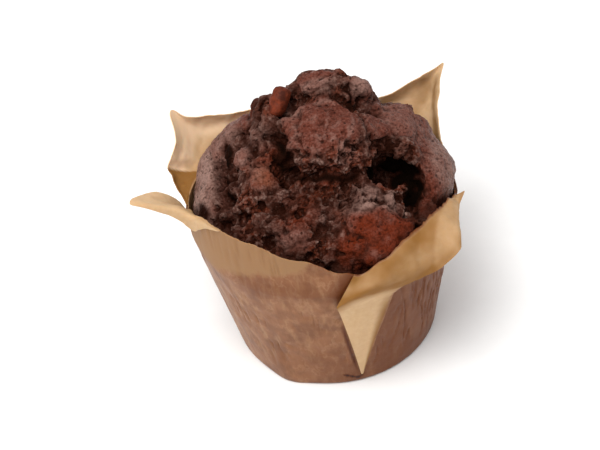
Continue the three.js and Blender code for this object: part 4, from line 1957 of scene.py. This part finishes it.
# ---- The studio --------------------------------------------------------------------------


@dataclass
class Studio:
    """A pale floor, an even sky, one soft lamp high at the front left, and the camera."""

    finish: FloorFinish = FloorFinish()
    floor_size: float = 3000.0
    elevation: float = 42.4
    roll: float = 8.6
    distance: float = 500.0
    target: Vec = (-7.2, 0.0, 36.9)
    focal_pixels: float = 1740.0
    frame_width: float = 600.0
    sensor: float = 36.0
    near_clip: float = 10.0
    sky: Colour = (1.0, 1.0, 1.0, 1.0)
    sky_strength: float = 0.8
    lamp_at: Vec = (-130.0, -190.0, 560.0)
    lamp_aim: Vec = (0.0, 0.0, 45.0)
    lamp_size: float = 340.0
    lamp_power: float = 3.2
    lamp_tint: Vec = (1.0, 0.99, 0.97)

    def floor(self, effects: Effects) -> None:
        """Adds the floor that the case stands on.

        Args:
            effects: The shared node groups.
        """
        plane = started(bpy.ops.mesh.primitive_plane_add, size=self.floor_size * MM)
        floor = join([plane], "studio_floor")
        dress(floor, self.finish.material(effects))

    def camera(self) -> None:
        """Places the camera, looking down on the front of the muffin with a slight roll."""
        rise = math.radians(self.elevation)
        turn = math.radians(self.roll)
        back = Vector((0.0, -math.cos(rise), math.sin(rise)))
        right = Vector((1.0, 0.0, 0.0))
        up = Vector((0.0, math.sin(rise), math.cos(rise)))
        side = right * math.cos(turn) - up * math.sin(turn)
        top = right * math.sin(turn) + up * math.cos(turn)
        pose = Matrix((side, top, back)).transposed().to_4x4()
        pose.translation = (Vector(self.target) + back * self.distance) * MM
        lens = bpy.data.cameras.new("studio_camera")
        lens.sensor_width = self.sensor
        lens.lens = self.focal_pixels * self.sensor / self.frame_width
        lens.clip_start = self.near_clip * MM
        eye = bpy.data.objects.new("studio_camera", lens)
        bpy.context.scene.collection.objects.link(eye)
        eye.matrix_world = pose
        bpy.context.scene.camera = eye

    def lamp(self) -> None:
        """Hangs the square lamp that faces the muffin."""
        light = bpy.data.lights.new("key", "AREA")
        light.size = self.lamp_size * MM
        light.energy = self.lamp_power
        light.color = self.lamp_tint
        holder = bpy.data.objects.new("key", light)
        bpy.context.scene.collection.objects.link(holder)
        place = Vector(self.lamp_at) * MM
        aim = Vector(self.lamp_aim) * MM - place
        holder.matrix_world = Matrix.Translation(place) @ aim.to_track_quat("-Z", "Y").to_matrix().to_4x4()

    def sky_light(self) -> None:
        """Lights the set evenly from all round."""
        world = bpy.data.worlds.new("studio")
        world.use_nodes = True
        background = world.node_tree.nodes["Background"]
        background.inputs["Color"].default_value = self.sky
        background.inputs["Strength"].default_value = self.sky_strength
        bpy.context.scene.world = world

    def set_up(self, effects: Effects) -> None:
        """Sets up the floor, the camera, the light and the colour handling.

        Args:
            effects: The shared node groups.
        """
        self.floor(effects)
        self.camera()
        self.sky_light()
        self.lamp()
        bpy.context.scene.view_settings.view_transform = "Standard"


# ---- Assembly ----------------------------------------------------------------------------


def hand_over(piece: Object, node: str) -> None:
    """Lets a finished piece stand for its CAD node, and reports it.

    Args:
        piece: The finished piece.
        node: Name of the CAD node that it replaces.
    """
    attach(piece, "root")
    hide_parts(node)
    LOG.info("%s: %d vertices", piece.name, len(piece.data.vertices))


def main() -> None:
    """Builds the muffin and its studio."""
    logging.basicConfig(level=logging.INFO)
    noise.seed_set(NOISE_SEED)
    effects = Effects(crumb_grain_group(), mottle_group())
    form = CaseForm()
    Studio().set_up(effects)
    hand_over(PaperCase(form).build(effects), "paper_case")
    hand_over(Cake(form).build(effects), "cake")
    hand_over(ChocolateChunk().build(effects), "chocolate_chunk")


if __name__ == "__main__":
    main()
